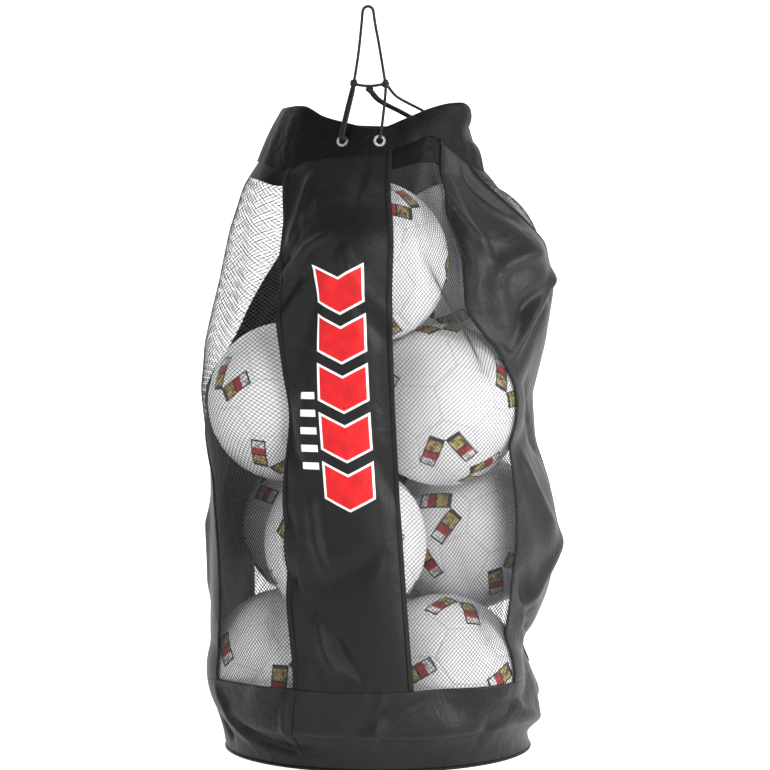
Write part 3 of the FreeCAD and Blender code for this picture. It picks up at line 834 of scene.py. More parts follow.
@dataclass
class ClothTube:
    """The bag's side as one tube of cloth, simulated round the balls."""

    panel_columns: int = 16
    window_columns: int = 15
    rows: int = 72
    frames: int = 46
    flat_width: float = 1.475
    base_radius: float = 0.2115
    floor_gap: float = 0.0035
    shoulder_radius: float = 0.112
    neck_radius: float = 0.152
    neck_height: float = 0.811
    wave_height: float = 0.0042
    skin: float = 0.0026
    fold_strength: float = 1.5
    grid: np.ndarray = field(default=None)
    band_row: int = 0
    flat_row: float = 0.0

    @property
    def columns(self) -> int:
        """How many columns of faces go round."""
        return 4 * (self.panel_columns + self.window_columns)

    def seams(self) -> list[tuple[Side, Zone, int, int]]:
        """Each strip's side, kind, first column and last column."""
        strips = []
        column = 0
        for side in Side:
            for zone, width in ((Zone.PANEL, self.panel_columns), (Zone.WINDOW, self.window_columns)):
                strips.append((side, zone, column, column + width))
                column += width
        return strips

    def spread(self, seams: list[float]) -> np.ndarray:
        """A value for each column, from its values at the eight seams.

        Args:
            seams: The values at the seams, in order from the front panel's left one.

        Returns:
            The values, evenly spaced between the seams.
        """
        widths = [self.panel_columns, self.window_columns] * 4
        ends = [*seams[1:], seams[0] + 360]
        parts = [np.linspace(a, b, n, endpoint=False) for a, b, n in zip(seams, ends, widths)]
        return np.concatenate(parts)

    def azimuths_at(self, height: float) -> np.ndarray:
        """Each column's azimuth at a height, in degrees."""
        return self.spread([float(np.interp(height, *zip(*route))) for route in SEAM_ROUTES])

    def balls(self) -> list[tuple[Vector, float]]:
        """Each ball's middle and radius."""
        names = [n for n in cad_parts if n.startswith("ball_layer")]
        boxes = [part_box(n) for n in sorted(names)]
        return [((Vector(a) + Vector(b)) / 2, (b[2] - a[2]) / 2) for a, b in boxes]

    def outline(self) -> np.ndarray:
        """Radius and height of each row before the cloth falls, evenly spaced up the side."""
        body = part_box("base_band")[1][0] - 0.003
        top_ball = max(centre.z for centre, _ in self.balls())
        shoulder = self.shoulder_radius
        ring = body - shoulder
        path = [(self.base_radius, self.floor_gap)]
        path += [
            (body - 0.027 * math.cos(a), 0.05 + 0.046 * (math.sin(a) - 1))
            for a in np.linspace(0.1, math.pi / 2, 8)
        ]
        path += [
            (ring + shoulder * math.cos(a), top_ball + shoulder * math.sin(a))
            for a in np.linspace(0, 0.68, 10)
        ]
        path.append((self.neck_radius, self.neck_height))
        path = np.array(path)
        steps = np.r_[0, np.cumsum(np.hypot(*np.diff(path, axis=0).T))]
        self.flat_row = steps[-1] / self.rows
        where = np.linspace(0, steps[-1], self.rows + 1)
        return np.c_[np.interp(where, steps, path[:, 0]), np.interp(where, steps, path[:, 1])]

    def start_grid(self) -> np.ndarray:
        """The tube's points before it falls: rows by columns by three."""
        outline = self.outline()
        neck = closed_curve(self.azimuths_at(outline[-1, 1]), NECK_SEAM)
        grid = np.zeros((self.rows + 1, self.columns, 3))
        for row, (radius, height) in enumerate(outline):
            azimuth = np.radians(self.azimuths_at(height))
            seam = smooth_step(0.66, self.neck_height, np.array(height))
            r = radius + (neck[:, 0] - self.neck_radius) * seam
            z = height + (neck[:, 1] - self.neck_height) * seam
            grid[row] = np.c_[r * np.sin(azimuth), -r * np.cos(azimuth), z]
        return grid

    def simulate(self) -> None:
        """Let the tube fall round the balls, held at its base and at its neck."""
        start = self.start_grid()
        rows, columns = start.shape[:2]
        faces = [
            (
                r * columns + c,
                r * columns + (c + 1) % columns,
                (r + 1) * columns + (c + 1) % columns,
                (r + 1) * columns + c,
            )
            for r in range(rows - 1)
            for c in range(columns)
        ]
        cloth = new_object("falling_cloth", start.reshape(-1, 3), faces)
        cloth.shape_key_add(name="Basis")
        flat = cloth.shape_key_add(name="flat")
        azimuth = np.radians([self.azimuths_at(height) for height in self.outline()[:, 1]])
        radius = self.flat_width / (2 * math.pi)
        height = np.arange(rows) * self.flat_row
        tube = np.zeros_like(start)
        tube[..., 0] = radius * np.sin(azimuth)
        tube[..., 1] = -radius * np.cos(azimuth)
        tube[..., 2] = height[:, None]
        flat.data.foreach_set("co", tube.reshape(-1))
        held = cloth.vertex_groups.new(name="held")
        held.add(list(range(columns)), 1.0, "REPLACE")
        held.add(list(range((rows - 1) * columns, rows * columns)), 1.0, "REPLACE")
        modifier = cloth.modifiers.new("Cloth", "CLOTH")
        settings = modifier.settings
        settings.quality = 7
        settings.mass = 0.25
        settings.tension_stiffness = 18
        settings.compression_stiffness = 14
        settings.shear_stiffness = 6
        settings.bending_stiffness = 0.9
        settings.tension_damping = 8
        settings.compression_damping = 8
        settings.bending_damping = 1.0
        settings.air_damping = 3
        settings.vertex_group_mass = "held"
        settings.rest_shape_key = flat
        modifier.collision_settings.distance_min = self.skin
        modifier.collision_settings.collision_quality = 3
        modifier.collision_settings.use_self_collision = False
        colliders = [self.collider(centre, radius) for centre, radius in self.balls()]
        scene = bpy.context.scene
        scene.frame_start = 1
        scene.frame_end = self.frames
        modifier.point_cache.frame_start = 1
        modifier.point_cache.frame_end = self.frames
        for number in range(1, self.frames + 1):
            scene.frame_set(number)
        graph = bpy.context.evaluated_depsgraph_get()
        fallen = cloth.evaluated_get(graph).to_mesh()
        places = np.zeros(len(fallen.vertices) * 3)
        fallen.vertices.foreach_get("co", places)
        self.grid = self.clear_of_balls(places.reshape(start.shape))
        for spare in (*colliders, cloth):
            bpy.data.objects.remove(spare)
        scene.frame_set(1)

    def collider(self, centre: Vector, radius: float) -> bpy.types.Object:
        """A ball that the cloth rests on while it falls."""
        bpy.ops.object.select_all(action="DESELECT")
        bpy.ops.mesh.primitive_uv_sphere_add(segments=48, ring_count=24, radius=radius, location=centre)
        ball = bpy.context.object
        ball.modifiers.new("Collision", "COLLISION")
        ball.collision.thickness_outer = 0.002
        ball.collision.cloth_friction = 12
        return ball

    def crease(self, piece: bpy.types.Object) -> None:
        """Fold a piece's vertices by every crease, and keep them clear of the balls."""
        places = np.zeros(len(piece.data.vertices) * 3)
        piece.data.vertices.foreach_get("co", places)
        points = places.reshape(-1, 3)
        azimuth = np.degrees(np.arctan2(points[:, 0], -points[:, 1]))
        lift = self.fold_strength * sum(crease.lift(azimuth, points[:, 2]) for crease in CREASES)
        lift = lift * smooth_step(0.004, 0.03, points[:, 2])
        radius = np.hypot(points[:, 0], points[:, 1])
        points[:, :2] *= (1 + lift / radius)[:, None]
        piece.data.vertices.foreach_set("co", self.clear_of_balls(points).reshape(-1))
        piece.data.update()

    def clear_of_balls(self, grid: np.ndarray) -> np.ndarray:
        """Push any point that ended inside a ball's cover back out of it."""
        for centre, radius in self.balls():
            away = grid - np.array(centre)
            distance = np.linalg.norm(away, axis=-1, keepdims=True)
            out = np.maximum(distance, radius + self.skin)
            grid = np.array(centre) + away / distance * out
        return grid

    def settle(self) -> None:
        """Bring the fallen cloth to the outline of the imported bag, and its stiff band to its base."""
        start = self.start_grid()
        grid = self.grid
        low_part = 1 - smooth_step(0.05, 0.115, start[..., 2:])
        grid = grid + (start - grid) * low_part
        azimuth = np.arctan2(grid[..., 0], -grid[..., 1])
        radius = np.hypot(grid[..., 0], grid[..., 1])
        height = grid[..., 2]
        target = radius.copy()
        for outline, middle in ((RIGHT_OUTLINE, math.pi / 2), (LEFT_OUTLINE, -math.pi / 2)):
            table = np.array(outline) * MM
            wanted = np.interp(height, table[:, 0], table[:, 1])
            share = np.clip(np.cos(azimuth - middle), 0, 1) ** 2.5
            target += (wanted - radius) * share
        loose = self.looseness(grid)
        # slanting waves of five sizes where the cloth hangs free
        folds = sum(
            math.sin(1.3 * n) * np.sin(n * azimuth + lean * height + 0.9 * n) / n**0.5
            for n, lean in ((6, 9.0), (9, -14.0), (13, 21.0), (19, -8.0), (27, 12.0))
        )
        reach = smooth_step(0.012, 0.06, height) * smooth_step(0.8, 0.7, height)
        target += self.wave_height * folds * loose * reach
        grid = np.stack([target * np.sin(azimuth), -target * np.cos(azimuth), height], axis=-1)
        grid[0] = start[0]
        grid[-1] = start[-1]
        self.grid = self.clear_of_balls(grid)

    def looseness(self, grid: np.ndarray) -> np.ndarray:
        """Zero where the cloth lies on a ball, rising to one where it hangs 25 mm clear."""
        gap = np.full(grid.shape[:2], np.inf)
        for centre, radius in self.balls():
            gap = np.minimum(gap, np.linalg.norm(grid - np.array(centre), axis=2) - radius)
        return smooth_step(0.003, 0.025, gap)

    def build(self) -> None:
        self.simulate()
        self.settle()
        heights = self.grid[:, :, 2].mean(axis=1)
        band_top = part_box("base_band")[1][2]
        self.band_row = int(np.argmin(np.abs(heights - band_top)))
        log.info("cloth: %d rows, band top at row %d", len(heights), self.band_row)

    def strip_width(self, first: int, last: int) -> float:
        """The flat width of the cloth between two seams, averaged over its height."""
        angles = np.array([self.azimuths_at(height) for height in self.outline()[:, 1]])
        turn = (angles[:, last % self.columns] - angles[:, first]) % 360
        return self.flat_width * float(turn.mean()) / 360

    def strip(self, first: int, last: int, low: int, high: int) -> np.ndarray:
        """The points of a strip, from column first to last and from row low to high."""
        picked = np.arange(first, last + 1) % self.columns
        return self.grid[low : high + 1][:, picked]


def grid_object(name: str, points: np.ndarray, spacing: tuple[float, float]) -> bpy.types.Object:
    """A sheet of quads over a grid of points, with a UV map in metres from its middle.

    Args:
        name: The object's name.
        points: Rows by columns by three.
        spacing: The flat distance between columns and between rows.

    Returns:
        The object.
    """
    rows, columns = points.shape[:2]
    faces = [
        (r * columns + c, r * columns + c + 1, (r + 1) * columns + c + 1, (r + 1) * columns + c)
        for r in range(rows - 1)
        for c in range(columns - 1)
    ]
    piece = new_object(name, points.reshape(-1, 3), faces)
    layer = piece.data.uv_layers.new(name="UVMap")
    corners = np.zeros(len(piece.data.loops), int)
    piece.data.loops.foreach_get("vertex_index", corners)
    across = (corners % columns - (columns - 1) / 2) * spacing[0]
    up = (corners // columns - (rows - 1) / 2) * spacing[1]
    layer.data.foreach_set("uv", np.c_[across, up].reshape(-1))
    return piece


@dataclass
class BagSides:
    """The panels, net windows, bindings and base band, cut from the fallen tube."""

    tube: ClothTube
    cloth_thickness: float = 0.0012
    yarn_width: float = 0.0006
    yarn_thickness: float = 0.0005
    binding_width: float = 0.0075
    # Rows of the solid band of painted shade above each net window: front, right, back, left.
    shade_yoke_rows: tuple[int, ...] = (3, 2, 6, 2)

    def cloth_piece(self, name: str, points: np.ndarray, step: float) -> bpy.types.Object:
        """A sheet of cloth over a grid, smoothed and given its thickness.

        Args:
            name: The object's name.
            points: Rows by columns by three.
            step: The flat distance between columns.

        Returns:
            The sheet.
        """
        piece = grid_object(name, points, (step, self.tube.flat_row))
        apply_modifier(piece, "SUBSURF", levels=2, render_levels=2, boundary_smooth="PRESERVE_CORNERS")
        self.tube.crease(piece)
        apply_modifier(piece, "SOLIDIFY", thickness=self.cloth_thickness, offset=0.0)
        return piece

    def net_piece(self, name: str, points: np.ndarray, step: float) -> bpy.types.Object:
        """A net over a grid: its quads are turned to diamonds and each diamond is opened.

        Args:
            name: The object's name.
            points: Rows by columns by three.
            step: The flat distance between columns.

        Returns:
            The net.
        """
        piece = grid_object(name, points, (step, self.tube.flat_row))
        apply_modifier(piece, "SUBSURF", levels=1, render_levels=1, boundary_smooth="PRESERVE_CORNERS")
        self.tube.crease(piece)
        only(piece)
        old_edges = len(piece.data.edges)
        bpy.ops.object.mode_set(mode="EDIT")
        bpy.ops.mesh.select_all(action="SELECT")
        bpy.ops.mesh.poke()
        shape = bmesh.from_edit_mesh(piece.data)
        shape.edges.ensure_lookup_table()
        for face in shape.faces:
            face.select = False
        for edge in shape.edges:
            edge.select = edge.index < old_edges and not edge.is_boundary
        bmesh.update_edit_mesh(piece.data)
        bpy.ops.mesh.select_mode(type="EDGE")
        bpy.ops.mesh.dissolve_edges(use_verts=False)
        bpy.ops.mesh.select_mode(type="FACE")
        bpy.ops.mesh.select_all(action="SELECT")
        bpy.ops.mesh.inset(thickness=self.yarn_width / 2, use_individual=True, use_boundary=True)
        bpy.ops.mesh.delete(type="FACE")
        bpy.ops.object.mode_set(mode="OBJECT")
        apply_modifier(piece, "SOLIDIFY", thickness=self.yarn_thickness, offset=0.0)
        return piece

    def binding_piece(self, name: str, column: int, low: int, high: int) -> bpy.types.Object:
        """A folded tape along a seam, lying proud of the cloth on both sides of it."""
        tube = self.tube
        rows = slice(low, high + 1)
        middle = tube.grid[rows, column % tube.columns]
        before = tube.grid[rows, (column - 1) % tube.columns]
        after = tube.grid[rows, (column + 1) % tube.columns]
        across = after - before
        across /= np.linalg.norm(across, axis=1, keepdims=True)
        along = np.gradient(middle, axis=0)
        out = np.cross(across, along)
        out /= np.linalg.norm(out, axis=1, keepdims=True)
        half = self.binding_width / 2
        lifts = ((-1.0, 0.0009), (-0.5, 0.0016), (0.0, 0.0019), (0.5, 0.0016), (1.0, 0.0009))
        points = np.stack([middle + across * side * half + out * lift for side, lift in lifts], axis=1)
        piece = grid_object(name, points, (half / 2, tube.flat_row))
        apply_modifier(piece, "SUBSURF", levels=1, render_levels=1, boundary_smooth="PRESERVE_CORNERS")
        self.tube.crease(piece)
        apply_modifier(piece, "SOLIDIFY", thickness=0.0007, offset=0.0)
        return piece

    def build(self, finishes: dict[str, bpy.types.Material]) -> None:
        """Make and dress every strip, then the band below them."""
        tube = self.tube
        low = tube.band_row
        high = tube.rows
        for side, zone, first, last in tube.seams():
            name = f"{side.value}_{zone.value}"
            width = tube.strip_width(first, last)
            step = width / (last - first)
            if zone is Zone.PANEL:
                piece = self.cloth_piece(name + "_cloth", tube.strip(first, last, low, high), step)
                finish = finishes["front_cloth" if side is Side.FRONT else "panel_cloth"]
                finish_piece(piece, finish, BAG, (name,))
                for edge, column in (("left", first), ("right", last)):
                    tape = f"{side.value}_binding_{edge}"
                    binding = self.binding_piece(tape + "_tape", column, low, high)
                    finish_piece(binding, finishes["tape"], BAG, (tape,))
                continue
            shade_yoke_rows = self.shade_yoke_rows[list(Side).index(side)]
            piece = self.net_piece(name + "_net", tube.strip(first, last, low, high - shade_yoke_rows), step)
            finish_piece(piece, finishes["net"], BAG, (name,))
            # Above each window a solid band of the darkest cloth: a sheet of painted shade where the collar
            # folds in over the net.
            points = tube.strip(first, last, high - shade_yoke_rows, high)
            yoke = self.cloth_piece(f"{side.value}_shade_yoke_cloth", points, step)
            finish_piece(yoke, finishes["collar_cloth"])
        points = tube.strip(0, tube.columns, 0, low)
        band = self.cloth_piece("base_band_cloth", points, tube.flat_width / tube.columns)
        finish_piece(band, finishes["base_cloth"], BAG, ("base_band",))


@dataclass
class BagBase:
    """The round bottom panel and the piping sewn round it."""

    radius: float
    piping_radius: float = 0.002

    def build(self, cloth: bpy.types.Material, tape: bpy.types.Material) -> None:
        """Make and dress the two pieces.

        Args:
            cloth: The finish of the panel.
            tape: The finish of the piping.
        """
        bpy.ops.object.select_all(action="DESELECT")
        bpy.ops.mesh.primitive_circle_add(
            vertices=128,
            radius=self.radius - 0.0018,
            fill_type="NGON",
            location=(0, 0, 0.0008),
            calc_uvs=True,
        )
        panel = bpy.context.object
        panel.name = "base_panel_cloth"
        bpy.ops.object.mode_set(mode="EDIT")
        bpy.ops.mesh.select_mode(type="FACE")
        bpy.ops.mesh.select_all(action="SELECT")
        for inset in (0.008, 0.03, 0.05, 0.05):
            bpy.ops.mesh.inset(thickness=inset)
        bpy.ops.object.mode_set(mode="OBJECT")
        bpy.ops.object.transform_apply()
        apply_modifier(panel, "SOLIDIFY", thickness=0.0014, offset=0.0)
        finish_piece(panel, cloth, BAG, ("base_panel",))
        bpy.ops.object.select_all(action="DESELECT")
        bpy.ops.mesh.primitive_torus_add(
            major_segments=160,
            minor_segments=10,
            major_radius=self.radius,
            minor_radius=self.piping_radius,
            location=(0, 0, self.piping_radius),
        )
        piping = bpy.context.object
        piping.name = "base_piping_cord"
        bpy.ops.object.transform_apply()
        bpy.ops.object.shade_smooth()
        finish_piece(piping, tape, BAG, ("base_piping",))


# From which azimuth to which, in degrees, each length of cord runs inside the collar's channel.
CHANNEL_CORDS = {
    "channel_cord_upper": (142, 336.5),
    "channel_cord_lower": (142, 336.5),
    "channel_cord_right": (5.5, 112.5),
}


@dataclass
class Collar:
    """The folded collar from the neck seam up over the rim and down inside."""

    columns: int = 248
    depth: float = 0.0085
    wrinkle: float = 0.0022
    lean: float = 0.017
    cloth_half: float = 0.0006
    belly: float = 0.0022
    waist: float = 0.013
    waist_azimuth: float = 76.0
    waist_half_angle: float = 20.0
    waist_height: float = 0.85
    waist_half_height: float = 0.014
    eyelet_half_angle: float = 9.0
    wrinkles: tuple[int, ...] = (7, 11, 17, 29)

    def wall(self, azimuths: np.ndarray, t: float) -> tuple[np.ndarray, np.ndarray]:
        """The outer wall at a share of its height.

        Args:
            azimuths: The azimuths that are wanted, in degrees.
            t: Zero at the seam and one at the rim.

        Returns:
            The radius and the height at each azimuth.
        """
        seam = closed_curve(azimuths, NECK_SEAM)
        rim = closed_curve(azimuths, RIM)
        turn = np.radians(azimuths)
        ripple = sum(np.sin(n * turn + 1.7 * n) / (1 + 0.12 * n) for n in self.wrinkles)
        belly = self.belly * math.sin(math.pi * max(t, 0)) + 0.0009
        away = self.away_from_eyelets(azimuths)
        height = seam[:, 1] + (rim[:, 1] - seam[:, 1]) * t
        radius = seam[:, 0] + (rim[:, 0] - seam[:, 0]) * t + belly
        radius = radius + self.wrinkle * ripple * (1.1 - 0.5 * t) * away
        # the drawn cord gathers the cloth to a waist on the right
        tight = np.exp(-(((azimuths - self.waist_azimuth) / self.waist_half_angle) ** 2))
        level = np.exp(-(((height - self.waist_height) / self.waist_half_height) ** 2))
        radius = radius - self.waist * tight * level
        return self.cad_radius(height) * (1 - away) + radius * away, height

    def ring(self, radius: np.ndarray, height: np.ndarray, azimuths: np.ndarray) -> np.ndarray:
        """Points all round at a radius and a height."""
        turn = np.radians(azimuths)
        return np.c_[radius * np.sin(turn), -radius * np.cos(turn), height]

    def build(
        self, cloth: bpy.types.Material, tape: bpy.types.Material, cord: bpy.types.Material
    ) -> None:
        """Make and dress the collar, the tape inside its seam and the cord in its channel.

        Args:
            cloth: The collar's finish, black with painted shade.
            tape: The tape's finish.
            cord: The cord's finish.
        """
        azimuths = np.linspace(-180, 180, self.columns, endpoint=False)
        rings = [self.ring(*self.wall(azimuths, t), azimuths) for t in np.linspace(-0.04, 1, 16)]
        rim_radius, rim_height = self.wall(azimuths, 1.0)
        rings.append(self.ring(rim_radius - 0.002, rim_height + 0.0016, azimuths))
        rings.append(self.ring(rim_radius - self.depth * 0.7, rim_height + 0.001, azimuths))
        for t in np.linspace(1, -0.1, 12):
            radius, height = self.wall(azimuths, t)
            rings.append(self.ring(radius - self.depth, height - 0.002, azimuths))
        piece = self.closed("collar_cloth", rings)
        apply_modifier(piece, "SUBSURF", levels=1, render_levels=1)
        apply_modifier(piece, "SOLIDIFY", thickness=0.001, offset=0.0)
        finish_piece(piece, cloth, BAG, ("collar",))
        seam = closed_curve(azimuths, NECK_SEAM)
        drops = (0.0, 0.004, 0.008, 0.012)
        rings = [self.ring(seam[:, 0] - 0.0022, seam[:, 1] - drop, azimuths) for drop in drops]
        inner = self.closed("neck_tape_tape", rings)
        apply_modifier(inner, "SOLIDIFY", thickness=0.0008, offset=0.0)
        finish_piece(inner, tape, BAG, ("neck_tape",))
        for name, azimuths in CHANNEL_CORDS.items():
            self.channel_cord(name, np.linspace(*azimuths, 40), cord)

    def channel_cord(self, name: str, azimuths: np.ndarray, material: bpy.types.Material) -> None:
        """The stretch of the cord inside the collar's channel, between two eyelets.

        Args:
            name: The CAD node that it stands for.
            azimuths: The azimuths of its points, in degrees.
            material: The cord's finish.
        """
        low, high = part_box(name)
        level = (low.z + high.z) / 2
        seam = closed_curve(azimuths, NECK_SEAM)
        rim = closed_curve(azimuths, RIM)
        shares = (level - seam[:, 1]) / (rim[:, 1] - seam[:, 1])
        radius = np.array([self.wall(azimuths, t)[0][i] for i, t in enumerate(shares)])
        points = self.ring(radius - self.depth / 2, np.full(len(azimuths), level), azimuths)
        drawcord = Drawcord()
        piece, _ = drawcord.tube(drawcord.spline(f"{name}_cord", [tuple(p) for p in points]), CORD_DIAMETER)
        finish_piece(piece, material, BAG, (name,))

    def closed(self, name: str, rings: list[np.ndarray]) -> bpy.types.Object:
        """A tube through rings of points, closed where its last column meets its first."""
        points = np.stack(rings)
        points = np.concatenate([points, points[:, :1]], axis=1)
        piece = grid_object(name, points, (0.0038, 0.0045))
        only(piece)
        bpy.ops.object.mode_set(mode="EDIT")
        bpy.ops.mesh.select_all(action="SELECT")
        bpy.ops.mesh.remove_doubles(threshold=0.00001)
        bpy.ops.object.mode_set(mode="OBJECT")
        return piece

    def away_from_eyelets(self, azimuths: np.ndarray) -> np.ndarray:
        """One away from the eyelets, and zero beside them, where the metal holds the cloth flat."""
        near = np.zeros_like(azimuths)
        for name in ("front_left", "front_right", "rear_left", "rear_right"):
            place = centre_of(f"eyelet_{name}")
            azimuth = math.degrees(math.atan2(place.x, -place.y))
            away = (azimuths - azimuth + 180) % 360 - 180
            near = np.maximum(near, 1.5 * np.exp(-((away / self.eyelet_half_angle) ** 2)))
        return 1 - np.clip(near, 0, 1)

    def cad_radius(self, height: np.ndarray) -> np.ndarray:
        """The collar's radius at a height beside the eyelets: a cone between its two edges."""
        low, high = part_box("collar")
        foot = high.x - self.cloth_half
        top = foot - self.lean
        return foot + (top - foot) * (height - low.z) / (high.z - low.z)


# ---------------------------------------------------------------- the footballs


@dataclass
class Football:
    """One size 5 ball: 32 panels sewn edge to edge, with pairs of printed stripes."""

    node: str
    turn: tuple[float, float, float]
    seam_half: float = 0.0013
    seam_depth: float = 0.0011
    pillow_half: float = 0.009
    pillow_depth: float = 0.0004
    seam_slope: float = 0.7
    stripe_lean: float = 27.0
    stripe_length: float = 0.05
    stripe_width: float = 0.0225
    centre: np.ndarray = field(default=None)
    radius: float = 0.11

    def rotation(self) -> np.ndarray:
        """The ball's turn as a matrix."""
        x, y, z = (math.radians(a) for a in self.turn)
        turned = Matrix.Rotation(z, 3, "Z") @ Matrix.Rotation(y, 3, "Y") @ Matrix.Rotation(x, 3, "X")
        return np.array(turned)

    def blank(self) -> bpy.types.Object:
        """A ball of 12 five-sided and 20 six-sided flat panels, one metre in radius."""
        bpy.ops.object.select_all(action="DESELECT")
        bpy.ops.mesh.primitive_ico_sphere_add(subdivisions=1, radius=1.0)
        ball = bpy.context.object
        ball.name = f"{self.node}_cover"
        bpy.ops.object.mode_set(mode="EDIT")
        bpy.ops.mesh.select_all(action="SELECT")
        third = 100 / 3
        bpy.ops.mesh.bevel(affect="VERTICES", offset_type="PERCENT", offset_pct=third, segments=1)
        bpy.ops.mesh.remove_doubles(threshold=0.001)
        bpy.ops.object.mode_set(mode="OBJECT")
        return ball

    def build(self, cover: bpy.types.Material, inks: list[bpy.types.Material]) -> None:
        """Make the cover with its seams, and the printed stripes on it.

        Args:
            cover: The cover's finish.
            inks: The black, red, gold and white inks.
        """
        low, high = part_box(self.node)
        self.centre = (np.array(low) + np.array(high)) / 2
        self.radius = (high[2] - low[2]) / 2
        ball = self.blank()
        normals = np.array([p.normal for p in ball.data.polygons])
        distances = np.array([p.normal.dot(p.center) for p in ball.data.polygons])
        hexagons = normals[[len(p.vertices) == 6 for p in ball.data.polygons]]
        only(ball)
        bpy.ops.object.mode_set(mode="EDIT")
        bpy.ops.mesh.select_mode(type="FACE")
        bpy.ops.mesh.select_all(action="SELECT")
        # a narrow ring beside every seam, so that the groove has enough faces
        bpy.ops.mesh.inset(thickness=0.03, use_individual=True)
        bpy.ops.object.mode_set(mode="OBJECT")
        apply_modifier(ball, "SUBSURF", subdivision_type="SIMPLE", levels=3, render_levels=3)
        count = len(ball.data.vertices)
        places = np.zeros(count * 3)
        ball.data.vertices.foreach_get("co", places)
        way = places.reshape(-1, 3)
        way /= np.linalg.norm(way, axis=1, keepdims=True)
        # a seam lies where the planes of two panels are reached at the same distance
        closeness = np.sort(way @ normals.T / distances, axis=1)
        gap = (closeness[:, -1] - closeness[:, -2]) * self.radius / self.seam_slope
        groove = np.exp(-((gap / self.seam_half) ** 2))
        pillow = np.exp(-gap / self.pillow_half)
        reach = self.radius - self.seam_depth * groove - self.pillow_depth * pillow
        turned = way @ self.rotation().T
        ball.data.vertices.foreach_set("co", (self.centre + turned * reach[:, None]).reshape(-1))
        seam = ball.data.attributes.new("seam", "FLOAT", "POINT")
        seam.data.foreach_set("value", groove)
        ball.data.polygons.foreach_set("use_smooth", [True] * len(ball.data.polygons))
        ball.data.update()
        finish_piece(ball, cover, BAG, (self.node,))
        self.stripes(hexagons @ self.rotation().T, inks)

    def stripes(self, middles: np.ndarray, inks: list[bpy.types.Material]) -> None:
        """Short printed stripes, black-edged with blocks of red and gold, on every other panel.

        Args:
            middles: The outward directions of the six-sided panels.
            inks: The black, red, gold and white inks.
        """
        wide_cells = 12
        # the ink of each cell along a stripe: black, gold, black, red, white, black
        blocks = [0] * 2 + [2] * 6 + [0] + [1] * 4 + [3] * 4 + [0]
        long_cells = len(blocks)
        vertices = []
        faces = []
        ink_numbers = []
        for index, middle in enumerate(middles[::2]):
            along = np.cross(middle, middles[(2 * index + 1) % len(middles)])
            along /= np.linalg.norm(along)
            across = np.cross(middle, along)
            for side in (-1, 1):
                lean = math.radians(self.stripe_lean * side)
                way = along * math.cos(lean) + across * math.sin(lean)
                other = np.cross(middle, way)
                place = middle * self.radius + across * side * self.stripe_width * 0.95
                first = len(vertices)
                for i in range(long_cells + 1):
                    for j in range(wide_cells + 1):
                        u = (i / long_cells - 0.5) * self.stripe_length
                        v = (j / wide_cells - 0.5) * self.stripe_width
                        point = place + way * u + other * v
                        point *= (self.radius + 0.0002) / np.linalg.norm(point)
                        vertices.append(self.centre + point)
                for i in range(long_cells):
                    for j in range(wide_cells):
                        a = first + i * (wide_cells + 1) + j
                        faces.append((a, a + wide_cells + 1, a + wide_cells + 2, a + 1))
                        edge = j in (0, wide_cells - 1)
                        ink_numbers.append(0 if edge else blocks[i])
        print_piece = new_object(f"{self.node}_print", np.array(vertices), faces)
        for ink in inks:
            print_piece.data.materials.append(ink)
        print_piece.data.polygons.foreach_set("material_index", ink_numbers)
        apply_modifier(print_piece, "SOLIDIFY", thickness=0.0004, offset=-1.0)
        finish_piece(print_piece, inks[0])


# ---------------------------------------------------------------- studio


@dataclass
class Studio:
    """The camera, the floor and the lights."""

    camera_place: tuple[float, float, float] = (0.0097, -4.1, 0.75)
    looks_at: tuple[float, float, float] = (0.0097, 0.0, 0.503)
    lens: float = 138.4

    def aim(self, thing: bpy.types.Object, target: tuple[float, float, float]) -> None:
        """Turn a camera or light towards a point."""
        way = Vector(target) - thing.location
        thing.rotation_euler = way.to_track_quat("-Z", "Y").to_euler()

    def camera(self) -> None:
        """Make the camera."""
        bpy.ops.object.select_all(action="DESELECT")
        bpy.ops.object.camera_add(location=self.camera_place)
        camera = bpy.context.object
        camera.data.lens = self.lens
        camera.data.sensor_width = 36
        self.aim(camera, self.looks_at)
        bpy.context.scene.camera = camera

    def lamp(self, name: str, place: tuple[float, float, float], size: float, power: float) -> None:
        """A square soft light aimed at the bag's middle."""
        bpy.ops.object.light_add(type="AREA", location=place)
        light = bpy.context.object
        light.name = name
        light.data.size = size
        light.data.energy = power
        self.aim(light, (0, 0, 0.5))

    def build(self) -> None:
        """Make the floor with its sweep, the lights and the surroundings."""
        profile = [(-6, 0), (3.4, 0), (4.1, 0.1), (4.6, 0.45), (4.8, 1.0), (4.85, 5.0)]
        vertices = np.array([(x, y, z) for y, z in profile for x in (-7, 7)], float)
        faces = [(2 * i, 2 * i + 1, 2 * i + 3, 2 * i + 2) for i in range(len(profile) - 1)]
        floor = new_object("studio_floor", vertices, faces)
        tree = NodeTree("pale studio paper")
        place = tree.add("ShaderNodeTexCoord").outputs["Object"]
        grain = tree.add("ShaderNodeTexNoise", Vector=place, Scale=3.0, Detail=2.0).outputs[0]
        colour = tree.mix(grain, linear("f4f4f4"), linear("fafafa"))
        paper = tree.add(
            "ShaderNodeBsdfPrincipled",
            Base_Color=colour,
            Roughness=0.9,
            Emission_Color=colour,
            Emission_Strength=0.75,
        )
        floor.data.materials.append(tree.done(paper))
        world = bpy.data.worlds.new("studio")
        world.use_nodes = True
        world.node_tree.nodes["Background"].inputs["Color"].default_value = linear("ffffff")
        world.node_tree.nodes["Background"].inputs["Strength"].default_value = 0.35
        bpy.context.scene.world = world
        self.lamp("key_front", (1.2, -4.2, 2.0), 1.1, 130)
        self.lamp("fill_left", (-3.0, -2.4, 1.6), 1.4, 35)
        self.lamp("side_right", (3.2, -0.9, 1.5), 0.8, 110)
        self.lamp("top", (0.3, 0.5, 3.2), 2.2, 20)
        bpy.context.scene.view_settings.view_transform = "Standard"


# ---------------------------------------------------------------- the whole bag


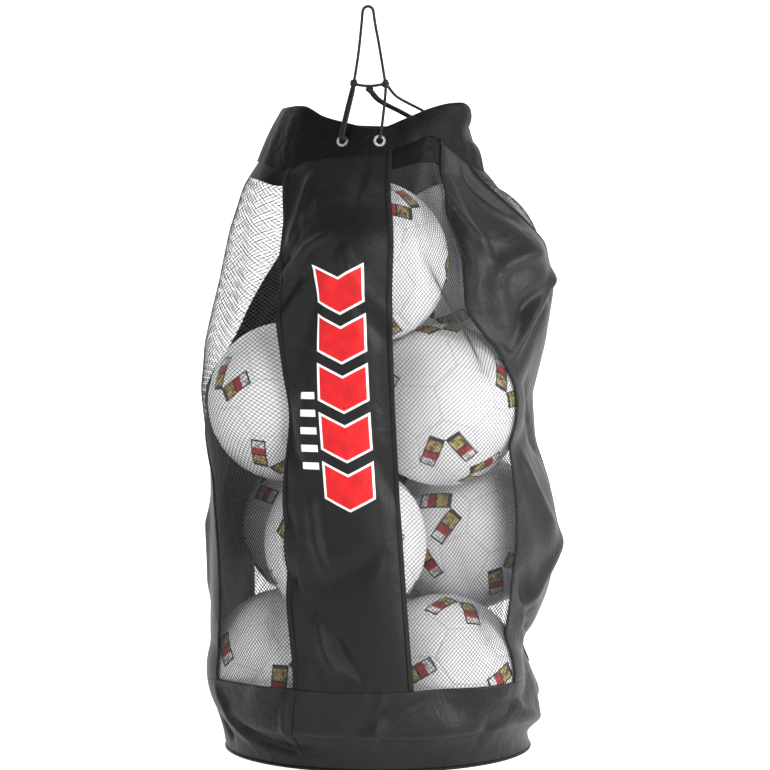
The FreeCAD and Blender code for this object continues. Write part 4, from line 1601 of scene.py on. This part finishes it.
def finishes() -> dict[str, bpy.types.Material]:
    """Every material of the bag by its plain name."""
    return {
        # The front panel's cloth is darker than the same cloth on the other panels: painted shade on the
        # front.
        "front_cloth": WovenCloth(
            "black coated polyester with print", "070708", "111113", print_on=True
        ).make(),
        "panel_cloth": WovenCloth("black coated polyester", "0e0e0f", "1d1d1e").make(),
        "base_cloth": WovenCloth(
            "heavy black coated polyester", "0b0b0c", "1a1a1b", 1.4, 26.0, 0.45
        ).make(),
        # The darkest cloth, on the collar and on the bands above the net windows: black cloth with painted
        # shade, darker than the panels, for the shade where the collar folds over the windows.
        "collar_cloth": WovenCloth(
            "near-black polyester with painted shade", "030303", "080809", 1.0, 22.0, 0.5, 0.1
        ).make(),
        "tape": WovenCloth(
            "black woven binding tape", "070708", "101011", 1.0, 12.0, 0.6
        ).make(),
        "net": NetYarn().make(),
        "cord": BraidedCord().make(),
        "metal": PlatedBrass().make(),
        "cover": BallCover().make(),
        "rubber": MouldedRubber().make(),
        "black_ink": PrintedInk("black screen ink", "0c0c0e", "222224").make(),
        "red_ink": PrintedInk("red screen ink", "c0242c", "6a1216").make(),
        "gold_ink": PrintedInk("gold screen ink", "c2ab66", "3a3018").make(),
        "white_ink": PrintedInk("white screen ink", "efefef", "8c8c8c").make(),
    }


def dress_cad_nodes(made: dict[str, bpy.types.Material]) -> None:
    """Give every CAD node that stays shown the finish of its real material."""
    for name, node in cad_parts.items():
        if name.startswith(("eyelet", "washer")):
            finish = made["metal"]
        else:
            finish = made["rubber"]
        node.data.materials.clear()
        node.data.materials.append(finish)


def main() -> None:
    """Build the whole bag in order."""
    logging.basicConfig(level=logging.INFO)
    studio = Studio()
    studio.camera()
    made = finishes()
    dress_cad_nodes(made)
    drawcord = Drawcord()
    drawcord.build(made["cord"])
    for index, name in enumerate(("knot_left", "knot_right", "knot_tie")):
        drawcord.knot(name, made["cord"], 50.0 * index)
    tube = ClothTube()
    tube.build()
    BagSides(tube).build(made)
    BagBase(tube.base_radius).build(made["base_cloth"], made["tape"])
    Collar().build(made["collar_cloth"], made["tape"], made["cord"])
    inks = [made[name] for name in ("black_ink", "red_ink", "gold_ink", "white_ink")]
    balls = sorted(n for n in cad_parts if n.startswith("ball_layer"))
    for index, name in enumerate(balls):
        # each ball lies turned its own way
        turn = (37.0 * index + 11, 53.0 * index + 5, 71.0 * index + 23)
        Football(name, turn).build(made["cover"], inks)
    studio.build()


if __name__ == "__main__":
    main()
